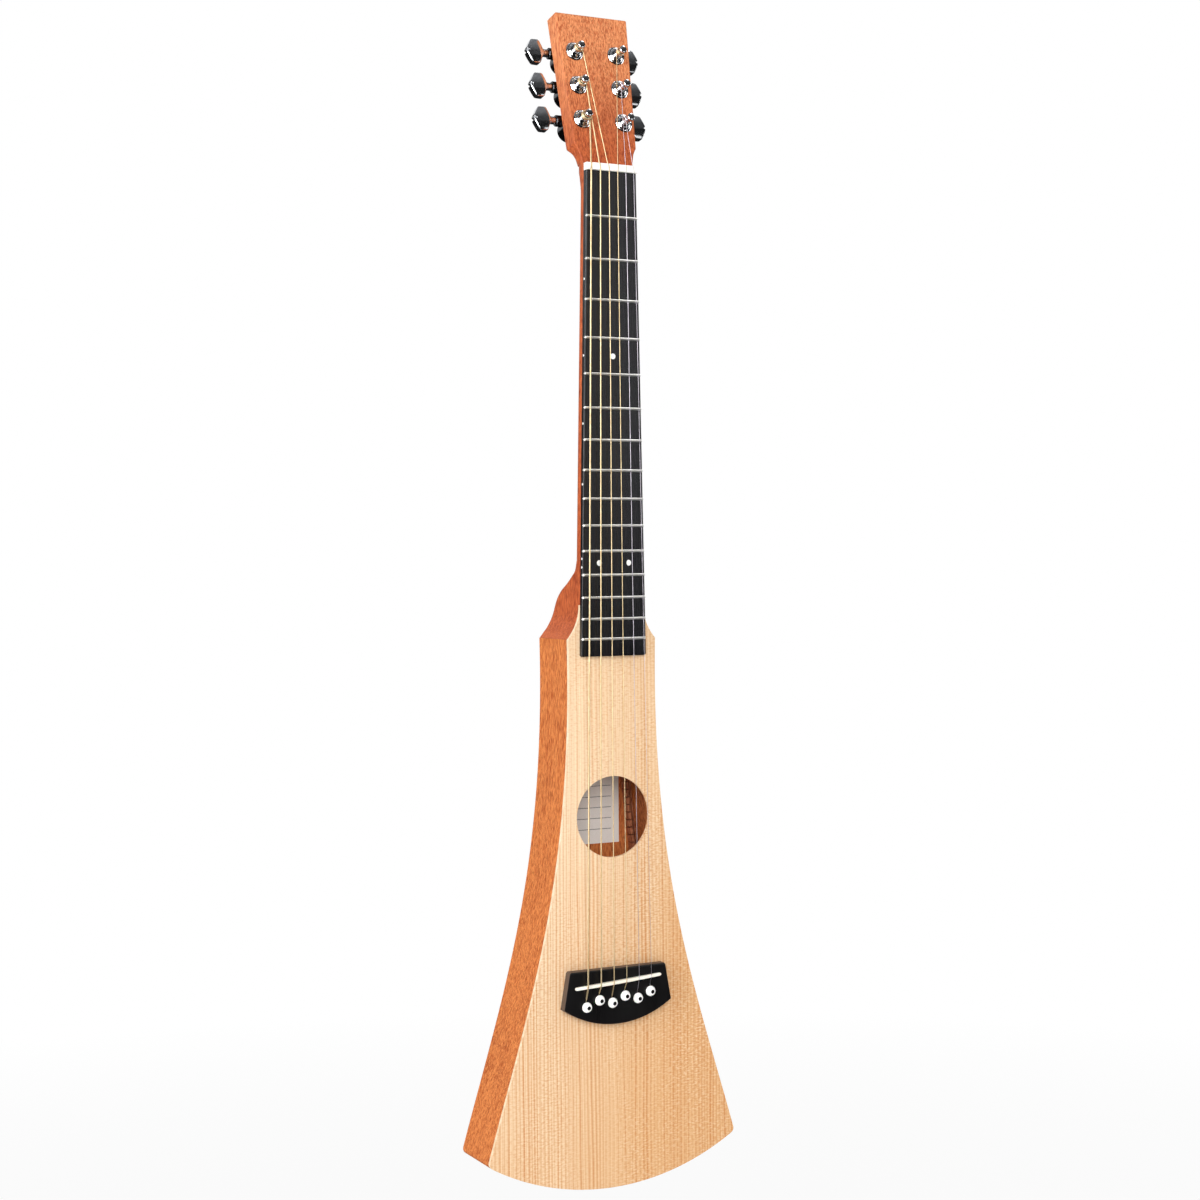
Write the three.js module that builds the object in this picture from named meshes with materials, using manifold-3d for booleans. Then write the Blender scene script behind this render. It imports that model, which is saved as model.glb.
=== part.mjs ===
// A slim six-string travel guitar with a paddle-shaped hollow body.
//
// Millimetres. The origin is on the centre line at the front edge of the nut, in the plane where
// the fingerboard is glued to the neck. +X is the treble side, +Y runs into the body towards the
// back plate, and +Z runs up the neck towards the headstock.

import * as THREE from "three";
import { mergeVertices } from "three/addons/utils/BufferGeometryUtils.js";
import Module from "manifold-3d";

const wasm = await Module();
wasm.setup();

// Driving sizes of the strings and the fingerboard
const scale_length = 609.6;
const frets_to_octave = 12;
const fret_count = 15;
const string_count = 6;
const nut_width = 42.9;
const octave_width = 53.6;
const board_overhang = 13.2;
const board_thickness = 4.4;
const board_radius = 406.4;
const octave_action = 2.3;
const string_lift_at_nut = 0.4;

// Fret wire
const fret_crown_width = 2.0;
const fret_crown_height = 1.1;
const fret_tang_width = 0.55;
const fret_tang_depth = 1.7;
const fret_end_inset = 0.3;

// Nut and saddle
const nut_thickness = 5.6;
const nut_rise = 1.1;
const saddle_length = 74;
const saddle_thickness = 2.4;
const saddle_seat_depth = 4.2;
const saddle_setback = 5.05;
const saddle_slant = THREE.MathUtils.degToRad(3.55);
const saddle_ridge_slope = THREE.MathUtils.degToRad(30);

// Neck, heel and headstock
const neck_depth_at_nut = 15.4;
const neck_depth_at_heel = 20;
const neck_shoulder_at_nut = 2.3;
const neck_shoulder_at_heel = 3.5;
const neck_keel_width = 2.4;
const heel_length = 60;
const heel_edge_round = 2;
const heel_block_length = 42;
const shoulder_length = 26;
const head_tilt = THREE.MathUtils.degToRad(12.5);
const head_face_drop = 1.7;
const head_length = 121.3;
const head_thickness = 15;
const head_top_width = 61.4;
const head_lower_width = 52.6;
const head_flare_length = 15.4;
const head_corner_round = 2.6;
const head_back_round = 1.2;
const rod_width = 6;
const rod_depth = 9;
const rod_start = 6;
const rod_end_gap = 5.7;

// Body
const body_depth = 50.8;
const body_joint_fret = 15;
const shoulder_setback = 0.2;
const shoulder_width = 75;
const tail_width = 212.5;
const tail_reach = 159.35;
const tail_sag = 29.8;
const tail_corner_round = 3.6;
const tail_joint_rise = 11.2;
const top_thickness = 2.8;
const back_thickness = 2.5;
const side_thickness = 3.2;
const lining_width = 5;
const lining_height = 6.5;
const tail_block_width = 64;
const tail_block_thickness = 14;
const soundhole_diameter = 62;
const soundhole_to_saddle = 125.25;
const brace_width = 8;
const brace_height = 11;

// Bridge and bridge pins
const bridge_thickness = 6.6;
const bridge_lip = 10.65;
const bridge_depth = 28;
const bridge_belly = 15;
const bridge_front_width = 82.4;
const bridge_back_width = 93.6;
const bridge_edge_round = 1;
const bridge_plate_thickness = 3;
const bridge_plate_width = 96;
const bridge_plate_depth = 44;
const pin_spread = 54.8;
const pin_row_setback = 15.1;
const pin_row_stagger = 3.6;
const pin_shaft_radius = 2.6;
const pin_tip_radius = 2.1;
const pin_shaft_length = 23;
const pin_head_radius = 3.95;
const pin_head_height = 4.2;

// Strings, from the thickest at the bass side
const string_diameters = [1.35, 1.07, 0.81, 0.61, 0.41, 0.3];
const string_spread_at_nut = 36.5;
const wound_string_count = 4;
const winding_turns = [2, 2.5, 3, 3, 3, 3];
const winding_clearance = 0.46;
const winding_start = 6.05;
const ball_diameter = 3.4;
const ball_length = 2.6;

// Tuning machines, in the headstock's own frame
const tuner_first_station = 35.6;
const tuner_spacing = 27.45;
const tuner_row_spread = 35.6;
const post_radius = 3;
const post_waist_radius = 2.5;
const post_height = 13.4;
const post_cap_height = 1.7;
const post_neck_height = 5.2;
const flange_radius = 7.3;
const flange_height = 1.9;
const flange_rim = 0.8;
const sleeve_radius = 4.9;
const gear_teeth = 14;
const gear_pitch_radius = 4.6;
const gear_face = 2.6;
const gear_tooth_height = 0.85;
const worm_pitch_radius = 2;
const worm_thread_height = 0.85;
const mesh_play = 0.25;
const worm_turns = 4;
const worm_depth = 6.7;
const case_radius = 8.6;
const case_wall = 1.7;
const case_depth = 12.4;
const case_edge_round = 1.5;
const boss_radius = 4.4;
const boss_inner_reach = 6.6;
const boss_outer_reach = 11.8;
const ear_reach = 10.4;
const ear_radius = 3.2;
const ear_thickness = 2.4;
const button_inner = 16.9;
const button_length = 13.2;
const button_height = 19.6;
const button_thickness = 8.4;
const button_bevel = 2.1;
const button_collar_radius = 3.4;
const button_collar_length = 1.6;
const shaft_radius = 2.1;

// Clearances, and how finely round shapes are stepped
const running_gap = 0.3;
const glue_gap = 0.12;
const string_gap = 0.18;
const overrun = 1;
const weld_distance = 0.0005;
const round_steps = 12;
const hole_steps = 10;
const arc_steps = 7;
const board_steps = 4;
const loop_steps = 16;
const tube_sides = 6;

// Sizes and stations that follow from the ones above. A station is a distance from the nut's
// front edge, towards the tail.
const gear_module = (2 * gear_pitch_radius) / gear_teeth;
const worm_lead = Math.PI * gear_module;
const worm_length = worm_turns * worm_lead;
const worm_offset = gear_pitch_radius + worm_pitch_radius + mesh_play;
const board_length = -fret_station(fret_count) + board_overhang;
const shoulder_station = -fret_station(body_joint_fret) + shoulder_setback;
const back_seat = body_depth - back_thickness;
const shoulder_half = shoulder_width / 2;
const tail_half = tail_width / 2;
const fret_top = board_thickness + fret_crown_height;
const string_lift_at_saddle = 2 * octave_action - string_lift_at_nut;
const saddle_height = fret_top + string_lift_at_saddle;
const saddle_station = scale_length + saddle_setback;
const pin_row_station = saddle_station + pin_row_setback;
const bridge_front_station = saddle_station - bridge_lip;
const soundhole_station = saddle_station - soundhole_to_saddle;
const tail_station = saddle_station + tail_reach;
const tail_corner_station = tail_station - tail_sag;
const tail_joint_station = tail_corner_station - tail_joint_rise;
const rod_length = shoulder_station - shoulder_length - rod_start - rod_end_gap;
const heel_block_end = shoulder_station + heel_block_length;
const upper_brace_station = (heel_block_end + soundhole_station - soundhole_diameter / 2) / 2;
const lower_brace_station = (soundhole_station + soundhole_diameter / 2 + bridge_front_station) / 2;
const back_brace_station = bridge_front_station;

// Materials: colour, roughness and metalness as the photograph shows them
function finish(color, roughness, metalness) {
  return new THREE.MeshStandardMaterial({ color, roughness, metalness });
}
const finishes = {
  mahogany: finish(0xb86a3c, 0.42, 0),
  spruce: finish(0xeccb98, 0.45, 0),
  board: finish(0x2a2a2c, 0.5, 0),
  bridge: finish(0x17171a, 0.45, 0),
  bone: finish(0xf4f1e4, 0.35, 0),
  fret_wire: finish(0xd8d6d0, 0.25, 1),
  chrome: finish(0xc9ccd0, 0.12, 1),
  bronze: finish(0xc9a063, 0.35, 1),
  plain_steel: finish(0xb9bbbd, 0.3, 1),
  rod_steel: finish(0x6a6c70, 0.5, 1),
};

// Turns a closed geometry the right way out, so that its volume counts as positive.
function outward(geometry) {
  const flat = geometry.index ? geometry.toNonIndexed() : geometry.clone();
  for (const name of Object.keys(flat.attributes)) {
    if (name !== "position") flat.deleteAttribute(name);
  }
  const place = flat.attributes.position;
  const a = new THREE.Vector3();
  const b = new THREE.Vector3();
  const c = new THREE.Vector3();
  let volume = 0;
  for (let i = 0; i < place.count; i += 3) {
    a.fromBufferAttribute(place, i);
    b.fromBufferAttribute(place, i + 1);
    c.fromBufferAttribute(place, i + 2);
    volume += a.dot(b.cross(c));
  }
  if (volume < 0) {
    for (let i = 0; i < place.count; i += 3) {
      b.fromBufferAttribute(place, i + 1);
      c.fromBufferAttribute(place, i + 2);
      place.setXYZ(i + 1, c.x, c.y, c.z);
      place.setXYZ(i + 2, b.x, b.y, b.z);
    }
  }
  return mergeVertices(flat, weld_distance);
}

function to_solid(geometry) {
  const merged = outward(geometry);
  const vertProperties = new Float32Array(merged.attributes.position.array);
  const triVerts = new Uint32Array(merged.index.array);
  return new wasm.Manifold(new wasm.Mesh({ numProp: 3, vertProperties, triVerts }));
}

function to_geometry(body) {
  const mesh = body.getMesh();
  const geometry = new THREE.BufferGeometry();
  geometry.setAttribute("position", new THREE.Float32BufferAttribute(mesh.vertProperties, 3));
  geometry.setIndex(Array.from(mesh.triVerts));
  return geometry;
}

// Joins the geometries of one list, then takes away those of the other.
function carve(parts, cutters = []) {
  let body = to_solid(parts[0]);
  for (const part of parts.slice(1)) body = body.add(to_solid(part));
  for (const cutter of cutters) body = body.subtract(to_solid(cutter));
  return to_geometry(body);
}

// A block between two corners
function block(low, high) {
  const size = new THREE.Vector3().subVectors(high, low);
  const middle = new THREE.Vector3().addVectors(low, high).multiplyScalar(0.5);
  return new THREE.BoxGeometry(size.x, size.y, size.z).translate(middle.x, middle.y, middle.z);
}

function at(x, y, z) {
  return new THREE.Vector3(x, y, z);
}

// A plate: an outline in x and z, with its holes, that runs from y = near to y = far
function plate(outline, near, far, holes = []) {
  const shape = new THREE.Shape(outline);
  for (const hole of holes) shape.holes.push(new THREE.Path(hole));
  const options = { depth: far - near, bevelEnabled: false, curveSegments: 1 };
  return new THREE.ExtrudeGeometry(shape, options).rotateX(Math.PI / 2).translate(0, far, 0);
}

function circle(x, z, radius, steps) {
  const points = [];
  for (let i = 0; i < steps; i += 1) {
    const angle = (2 * Math.PI * i) / steps;
    points.push(new THREE.Vector2(x + radius * Math.cos(angle), z + radius * Math.sin(angle)));
  }
  return points;
}

// A closed body through rings of points that all have the same count, capped by fans
function loft(rings) {
  const count = rings[0].length;
  const places = [];
  const faces = [];
  for (const ring of rings) {
    for (const point of ring) places.push(point.x, point.y, point.z);
  }
  for (let r = 0; r + 1 < rings.length; r += 1) {
    for (let i = 0; i < count; i += 1) {
      const j = (i + 1) % count;
      const a = r * count + i;
      const b = r * count + j;
      const c = (r + 1) * count + j;
      const d = (r + 1) * count + i;
      faces.push(a, b, c, a, c, d);
    }
  }
  const last = (rings.length - 1) * count;
  for (const [ring, offset] of [[rings[0], 0], [rings.at(-1), last]]) {
    const middle = new THREE.Vector3();
    for (const point of ring) middle.add(point);
    middle.divideScalar(count);
    const hub = places.length / 3;
    places.push(middle.x, middle.y, middle.z);
    for (let i = 0; i < count; i += 1) {
      const j = (i + 1) % count;
      if (offset === 0) faces.push(hub, offset + j, offset + i);
      else faces.push(hub, offset + i, offset + j);
    }
  }
  const geometry = new THREE.BufferGeometry();
  geometry.setAttribute("position", new THREE.Float32BufferAttribute(places, 3));
  geometry.setIndex(faces);
  return geometry;
}

// A turned shape about its own Z axis. The profile is a list of [radius, height] pairs.
function turned(profile, steps = round_steps) {
  const points = profile.map(([radius, height]) => new THREE.Vector2(radius, height));
  return new THREE.LatheGeometry(points, steps).rotateX(Math.PI / 2);
}

const group = new THREE.Group();
const head = new THREE.Group();
head.rotation.x = Math.PI / 2 - head_tilt;
head.position.set(0, head_face_drop, nut_thickness);
group.add(head);
head.updateMatrixWorld(true);

function add_part(parent, name, geometry, material) {
  const mesh = new THREE.Mesh(outward(geometry), material);
  mesh.name = name;
  parent.add(mesh);
}

// A point of the headstock's frame (x, up the face, out of the face) in the guitar's frame
function from_head(x, up, out) {
  return at(x, up, out).applyMatrix4(head.matrixWorld);
}

// Half the fingerboard's width at a station z
function board_half(z) {
  const at_octave = -scale_length / 2;
  return (nut_width + ((octave_width - nut_width) * z) / at_octave) / 2;
}

function fret_station(number) {
  return -scale_length * (1 - 2 ** (-number / frets_to_octave));
}

// The crown of the fingerboard: how far its surface falls away from its middle
function board_fall(x) {
  return (x * x) / (2 * board_radius);
}

// Outline of the body

// The cove from the neck's side out to the shoulder corner, as an arc tangent to the neck
function cove_points(steps) {
  const start = -(shoulder_station - shoulder_length);
  const from = board_half(start);
  const out = shoulder_half - from;
  const radius = (out * out + shoulder_length * shoulder_length) / (2 * out);
  const sweep = Math.asin(shoulder_length / radius);
  const points = [];
  for (let i = 0; i <= steps; i += 1) {
    const angle = (sweep * i) / steps;
    const x = from + radius * (1 - Math.cos(angle));
    points.push(new THREE.Vector2(x, start - radius * Math.sin(angle)));
  }
  return points;
}

// The flare from the shoulder to the tail corner is one Bezier curve. Its two handles are shares
// of the flare's length and of how much it widens.
const first_handle_shares = [-0.065, 0.47];
const last_handle_shares = [0.496, 0.295];
function flare_points(steps) {
  const rise = tail_corner_station - shoulder_station;
  const spread = tail_half - shoulder_half;
  const [first_out, first_down] = first_handle_shares;
  const [last_out, last_down] = last_handle_shares;
  const top = new THREE.Vector2(shoulder_half, -shoulder_station);
  const corner = new THREE.Vector2(tail_half, -tail_corner_station);
  return new THREE.CubicBezierCurve(
    top,
    new THREE.Vector2(top.x + first_out * spread, top.y - first_down * rise),
    new THREE.Vector2(corner.x - last_out * spread, corner.y + last_down * rise),
    corner,
  ).getSpacedPoints(steps);
}

// The tail is an arc through both corners. This gives its radius and the height of its centre.
const tail_radius = (tail_half * tail_half + tail_sag * tail_sag) / (2 * tail_sag);
const tail_centre = -tail_station + tail_radius;

function arc_point(radius, centre, angle) {
  return new THREE.Vector2(radius * Math.sin(angle), centre - radius * Math.cos(angle));
}

// An open line of points moved sideways, towards the guitar's centre line
function inset(points, distance) {
  return points.map((point, i) => {
    const before = points[Math.max(0, i - 1)];
    const after = points[Math.min(points.length - 1, i + 1)];
    const along = new THREE.Vector2().subVectors(after, before).normalize();
    return new THREE.Vector2(point.x + along.y * distance, point.y - along.x * distance);
  });
}

// The treble half of the body's edge, from the shoulder corner to the middle of the tail, or a
// line that lies a distance inside it. The tail corner is rounded where the tangents allow it.
const flare_steps = 16;
const tail_steps = 9;
const corner_steps = 4;
function body_edge(distance, corner_round) {
  const flare = inset(flare_points(flare_steps), distance);
  const radius = tail_radius - distance;
  const centre = new THREE.Vector2(0, tail_centre);
  while (flare.at(-2).distanceTo(centre) > radius) flare.pop();
  const last = flare.pop();
  const before = flare.at(-1);
  const inside = radius - before.distanceTo(centre);
  const outside = last.distanceTo(centre) - radius;
  const corner = before.clone().lerp(last, inside / (inside + outside));
  const into = new THREE.Vector2().subVectors(before, corner).normalize();
  const start = corner.clone().addScaledVector(into, corner_round);
  const corner_angle = Math.asin(corner.x / radius) - corner_round / radius;
  const first = arc_point(radius, tail_centre, corner_angle);
  const bend = new THREE.QuadraticBezierCurve(start, corner, first);
  const rounded = corner_round > 0 ? bend.getPoints(corner_steps).slice(0, -1) : [];
  const tail = [];
  for (let i = 0; i <= tail_steps; i += 1) {
    tail.push(arc_point(radius, tail_centre, corner_angle * (1 - i / tail_steps)));
  }
  return [...flare, ...rounded, ...tail];
}

function mirrored(points) {
  return points.map((point) => new THREE.Vector2(-point.x, point.y)).reverse();
}

const edge = body_edge(0, tail_corner_round);
const cove_steps = 6;
const cove = cove_points(cove_steps);
const soundhole_steps = 40;

// Neck with heel and headstock, one piece of mahogany

// One section of the neck: a flat top, straight shoulders and an elliptical back.
// Its points go once round, from the treble corner of the top to the bass corner.
function neck_section(half, bottom, side_round, back_round) {
  const points = [new THREE.Vector2(half, 0)];
  for (let i = 0; i <= arc_steps; i += 1) {
    const angle = (Math.PI * i) / (2 * arc_steps);
    const x = half - side_round * (1 - Math.cos(angle));
    points.push(new THREE.Vector2(x, bottom - back_round * (1 - Math.sin(angle))));
  }
  for (let i = points.length - 1; i >= 0; i -= 1) {
    points.push(new THREE.Vector2(-points[i].x, points[i].y));
  }
  return points;
}

// The heel's rows, as shares: how far each lies from the body's shoulder towards the neck, how much
// of the extra heel depth it has, and how much of the neck's own rounding sideways and backwards.
const heel_shares = [
  [0.03, 1, 0.07, 0.12],
  [0.08, 0.998, 0.08, 0.13],
  [0.16, 0.99, 0.14, 0.22],
  [0.26, 0.965, 0.2, 0.31],
  [0.38, 0.935, 0.27, 0.42],
  [0.5, 0.84, 0.33, 0.52],
  [0.6, 0.69, 0.4, 0.61],
  [0.69, 0.46, 0.5, 0.68],
  [0.775, 0.25, 0.62, 0.75],
  [0.87, 0.08, 0.85, 0.9],
  [1, 0.01, 1, 1],
];

// Half the width of the neck and heel at a station z, from the board or the cove
function neck_half(z) {
  const top = cove[0].y;
  if (z >= top) return board_half(z);
  const low = cove.findIndex((point) => point.y <= z + weld_distance);
  const above = cove[low - 1];
  const below = cove[low];
  return above.x + ((below.x - above.x) * (above.y - z)) / (above.y - below.y);
}

function level_ring(z, half, bottom, side_round, back_round) {
  return neck_section(half, bottom, side_round, back_round).map((p) => at(p.x, p.y, z));
}

function heel_rings() {
  const rings = [];
  const low = -shoulder_station;
  rings.push(level_ring(low, shoulder_half, body_depth, heel_edge_round, heel_edge_round));
  const own_back_round = neck_depth_at_heel - neck_shoulder_at_heel;
  for (const [along, deep, side_share, back_share] of heel_shares) {
    const z = low + along * heel_length;
    const half = neck_half(z);
    const bottom = neck_depth_at_heel + deep * (body_depth - neck_depth_at_heel);
    const side_round = (half - neck_keel_width / 2) * side_share;
    rings.push(level_ring(z, half, bottom, side_round, own_back_round * back_share));
  }
  return rings;
}

// Straight run of the neck, with stations as shares of the way from the heel to the nut
const neck_run_shares = [0.3, 0.6, 0.9, 0.985];
function neck_rings() {
  const rings = [];
  const start = -shoulder_station + heel_length;
  for (const share of neck_run_shares) {
    const z = start * (1 - share);
    const half = board_half(z);
    const bottom = THREE.MathUtils.lerp(neck_depth_at_heel, neck_depth_at_nut, share);
    const shoulder = THREE.MathUtils.lerp(neck_shoulder_at_heel, neck_shoulder_at_nut, share);
    rings.push(level_ring(z, half, bottom, half - neck_keel_width / 2, bottom - shoulder));
  }
  return rings;
}

// Behind the nut the sections widen into the headstock and lean back to its tilt. Each row has
// its place up the flare, its share of the widening, of the tilt and of the neck's roundness.
const flare_rows_shares = [
  [0.0, 0.0, 0.0, 0.86],
  [0.22, 0.22, 0.3, 0.66],
  [0.45, 0.46, 0.55, 0.45],
  [0.7, 0.72, 0.8, 0.26],
  [0.92, 0.95, 1.0, 0.12],
];
function head_ring(up, half, side_round, tilt_share) {
  const lean = head_tilt * (1 - tilt_share);
  const back_round = Math.min(side_round, head_thickness - neck_shoulder_at_nut);
  return neck_section(half, head_thickness, side_round, back_round).map((point) => {
    const along = up + point.y * Math.tan(lean);
    return from_head(point.x, along, -point.y);
  });
}

function head_rings() {
  const rings = [];
  const start_half = nut_width / 2;
  const lower_half = head_lower_width / 2;
  const top_half = head_top_width / 2;
  for (const [up_share, wide_share, tilt_share, round_share] of flare_rows_shares) {
    const half = THREE.MathUtils.lerp(start_half, lower_half, wide_share);
    const side_round = Math.max(head_back_round, (half - neck_keel_width / 2) * round_share);
    const up = running_gap + up_share * head_flare_length;
    rings.push(head_ring(up, half, side_round, tilt_share));
  }
  rings.push(head_ring(head_flare_length + head_corner_round, lower_half, head_back_round, 1));
  rings.push(head_ring(head_length, top_half, head_back_round, 1));
  return rings;
}

function nut_ledge_ring() {
  const half = nut_width / 2;
  const bottom = neck_depth_at_nut;
  const round = half - neck_keel_width / 2;
  return level_ring(nut_thickness, half, bottom, round, bottom - neck_shoulder_at_nut);
}

// Tuners 1 to 3 stand on the bass side from the nut upwards, and 4 to 6 on the treble side from
// the top downwards, so each takes the string of its own number.
function tuner_place(number) {
  const side = number <= string_count / 2 ? -1 : 1;
  const row = side < 0 ? number - 1 : string_count - number;
  const up = tuner_first_station + tuner_spacing * row;
  return { side, x: (side * tuner_row_spread) / 2, up };
}

function neck_geometry() {
  const rings = [...heel_rings(), ...neck_rings(), nut_ledge_ring(), ...head_rings()];
  const wood = loft(rings);
  const block_half = shoulder_half - side_thickness - 2 * running_gap;
  const heel_block = block(
    at(-block_half, top_thickness, -heel_block_end),
    at(block_half, back_seat, -shoulder_station + overrun),
  );
  const top_ledge = block(
    at(-tail_half, -overrun, -shoulder_station - overrun),
    at(tail_half, top_thickness, -shoulder_station + shoulder_length),
  );
  const rod_half = rod_width / 2 + running_gap / 2;
  const rod_channel = block(
    at(-rod_half, -overrun, -rod_start - rod_length - running_gap),
    at(rod_half, rod_depth + running_gap, -rod_start + running_gap),
  );
  const holes = [];
  for (let number = 1; number <= string_count; number += 1) {
    const { x, up } = tuner_place(number);
    const reach = head_thickness + 2 * overrun;
    const hole = new THREE.CylinderGeometry(
      sleeve_radius + running_gap, sleeve_radius + running_gap, reach, hole_steps,
    );
    hole.rotateX(Math.PI / 2).translate(x, up, overrun - reach / 2);
    holes.push(hole.applyMatrix4(head.matrixWorld));
  }
  return carve([wood, heel_block], [top_ledge, rod_channel, ...holes]);
}
add_part(group, "neck", neck_geometry(), finishes.mahogany);

const rod = block(
  at(-rod_width / 2, running_gap, -rod_start - rod_length),
  at(rod_width / 2, rod_depth, -rod_start),
);
add_part(group, "neck_rod", rod, finishes.rod_steel);

// Fingerboard, with a slot for every fret

function board_ring(z) {
  const half = board_half(z);
  const points = [at(half, 0, z)];
  for (let i = 0; i <= board_steps; i += 1) {
    const x = half * (1 - (2 * i) / board_steps);
    points.push(at(x, -board_thickness + board_fall(x), z));
  }
  points.push(at(-half, 0, z));
  return points;
}

function fret_slot(number) {
  const z = fret_station(number);
  const half = board_half(z) + overrun;
  const slot_half = fret_tang_width / 2 + glue_gap;
  return block(
    at(-half, -board_thickness - overrun, z - slot_half),
    at(half, -board_thickness + board_fall(half) + fret_tang_depth, z + slot_half),
  );
}

const slots = [];
for (let number = 1; number <= fret_count; number += 1) slots.push(fret_slot(number));
const board_blank = loft([board_ring(0), board_ring(-board_length)]);
add_part(group, "fingerboard", carve([board_blank], slots), finishes.board);

// A fret is a T section: half-round crown over a tang, following the board's crown.
const crown_shares = [[0.75, 0.72], [0.25, 1]];
function fret_geometry(number) {
  const z = fret_station(number);
  const half = board_half(z) - fret_end_inset;
  const crown_half = fret_crown_width / 2;
  const tang_half = fret_tang_width / 2;
  const flank = crown_shares.map(([along, rise]) => [along * crown_half, -rise * fret_crown_height]);
  const profile = [[tang_half, fret_tang_depth], [tang_half, -glue_gap], [crown_half, -glue_gap], ...flank];
  const right = profile.map(([along, rise]) => new THREE.Vector2(along, rise));
  const outline = [...right, ...mirrored(right)];
  const shape = new THREE.Shape(outline);
  const straight = new THREE.ExtrudeGeometry(shape, {
    depth: 2 * half, bevelEnabled: false, curveSegments: 1, steps: board_steps,
  });
  straight.rotateY(Math.PI / 2).translate(-half, 0, 0);
  const place = straight.attributes.position;
  for (let i = 0; i < place.count; i += 1) {
    const x = place.getX(i);
    place.setY(i, place.getY(i) - board_thickness + board_fall(x));
    place.setZ(i, place.getZ(i) + z);
  }
  return straight;
}

for (let number = 1; number <= fret_count; number += 1) {
  const name = `fret_${String(number).padStart(2, "0")}`;
  add_part(group, name, fret_geometry(number), finishes.fret_wire);
}

// Where each string runs

// Strings sit in the nut with equal gaps between their sides.
function string_places() {
  const sum = string_diameters.reduce((total, size) => total + size, 0);
  const ends = (string_diameters[0] + string_diameters.at(-1)) / 2;
  const gap = (string_spread_at_nut - (sum - ends)) / (string_count - 1);
  const places = [-string_spread_at_nut / 2];
  for (let i = 1; i < string_count; i += 1) {
    places.push(places[i - 1] + gap + (string_diameters[i - 1] + string_diameters[i]) / 2);
  }
  return places;
}
const nut_places = string_places();

function pin_place(index) {
  const x = -pin_spread / 2 + (pin_spread * index) / (string_count - 1);
  const stagger = index % 2 === 1 ? pin_row_stagger : 0;
  return { x, z: -pin_row_station + stagger + x * Math.tan(saddle_slant) };
}

function saddle_line(x) {
  return -saddle_station + x * Math.tan(saddle_slant);
}

// Where the string leaves the post's tangent, in the headstock's frame
function winding_of(index) {
  const { side, x, up } = tuner_place(index + 1);
  const radius = string_diameters[index] / 2;
  const coil_radius = post_waist_radius + running_gap + radius;
  const nut_point = at(nut_places[index], nut_height(index), 0);
  const local = head.worldToLocal(nut_point.clone());
  const dx = local.x - x;
  const du = local.y - up;
  const distance = Math.hypot(dx, du);
  const to_nut = Math.atan2(du, dx);
  const spread = Math.acos(coil_radius / distance);
  const start = side < 0 ? to_nut + spread : to_nut - spread;
  return { side, x, up, coil_radius, start, turn: side < 0 ? 1 : -1 };
}

function nut_height(index) {
  const x = nut_places[index];
  const radius = string_diameters[index] / 2;
  return -(fret_top + string_lift_at_nut) + board_fall(x) - radius;
}

function coil_points(index) {
  const winding = winding_of(index);
  const pitch = string_diameters[index] + winding_clearance;
  const turns = winding_turns[index];
  const count = Math.round(turns * loop_steps);
  const points = [];
  for (let i = 0; i <= count; i += 1) {
    const angle = winding.start + (winding.turn * 2 * Math.PI * i) / loop_steps;
    points.push(from_head(
      winding.x + winding.coil_radius * Math.cos(angle),
      winding.up + winding.coil_radius * Math.sin(angle),
      winding_start + string_diameters[index] / 2 + (pitch * i) / loop_steps,
    ));
  }
  return points;
}

// How far the string stands from its pin's axis inside the pin hole
function groove_offset(index) {
  return pin_shaft_radius + running_gap - string_gap - string_diameters[index] / 2;
}

// The string's own points: ball end under the bridge plate, up the pin's groove, out of the
// bridge, over the saddle and the nut, and round its post
function string_run(index) {
  const radius = string_diameters[index] / 2;
  const pin = pin_place(index);
  const groove = pin.z + groove_offset(index);
  const below = top_thickness + bridge_plate_thickness + running_gap;
  const exit_z = pin.z + pin_head_radius + 2 * string_gap;
  const exit_y = -bridge_thickness + radius + string_gap;
  const bend_y = exit_y + (exit_z - groove);
  const over = -saddle_height + board_fall(pin.x) - radius - string_gap;
  return [
    at(pin.x, below, groove),
    at(pin.x, bend_y, groove),
    at(pin.x, exit_y, exit_z),
    at(pin.x, over, saddle_line(pin.x)),
    at(nut_places[index], nut_height(index), 0),
    ...coil_points(index),
  ];
}

// A round tube along points, one ring at each, turned as little as possible from ring to ring
function tube(points, radius) {
  const rings = [];
  let side = at(1, 0, 0);
  for (let i = 0; i < points.length; i += 1) {
    const before = points[Math.max(0, i - 1)];
    const after = points[Math.min(points.length - 1, i + 1)];
    const into = new THREE.Vector3().subVectors(points[i], before).normalize();
    const out = new THREE.Vector3().subVectors(after, points[i]).normalize();
    const along = new THREE.Vector3().addVectors(into, out).normalize();
    side = side.clone().addScaledVector(along, -side.dot(along)).normalize();
    const up = new THREE.Vector3().crossVectors(along, side);
    const at_end = i === 0 || i === points.length - 1;
    const bend = at_end ? 1 : Math.sqrt((1 + into.dot(out)) / 2);
    const turn_axis = new THREE.Vector3().crossVectors(into, out);
    const ring = [];
    for (let k = 0; k < tube_sides; k += 1) {
      const angle = (2 * Math.PI * k) / tube_sides;
      const offset = side.clone().multiplyScalar(Math.cos(angle));
      offset.addScaledVector(up, Math.sin(angle));
      if (turn_axis.length() > weld_distance) {
        const across = new THREE.Vector3().crossVectors(turn_axis.clone().normalize(), along);
        offset.addScaledVector(across, offset.dot(across) * (1 / bend - 1));
      }
      ring.push(points[i].clone().addScaledVector(offset, radius));
    }
    rings.push(ring);
  }
  return rings;
}

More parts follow.
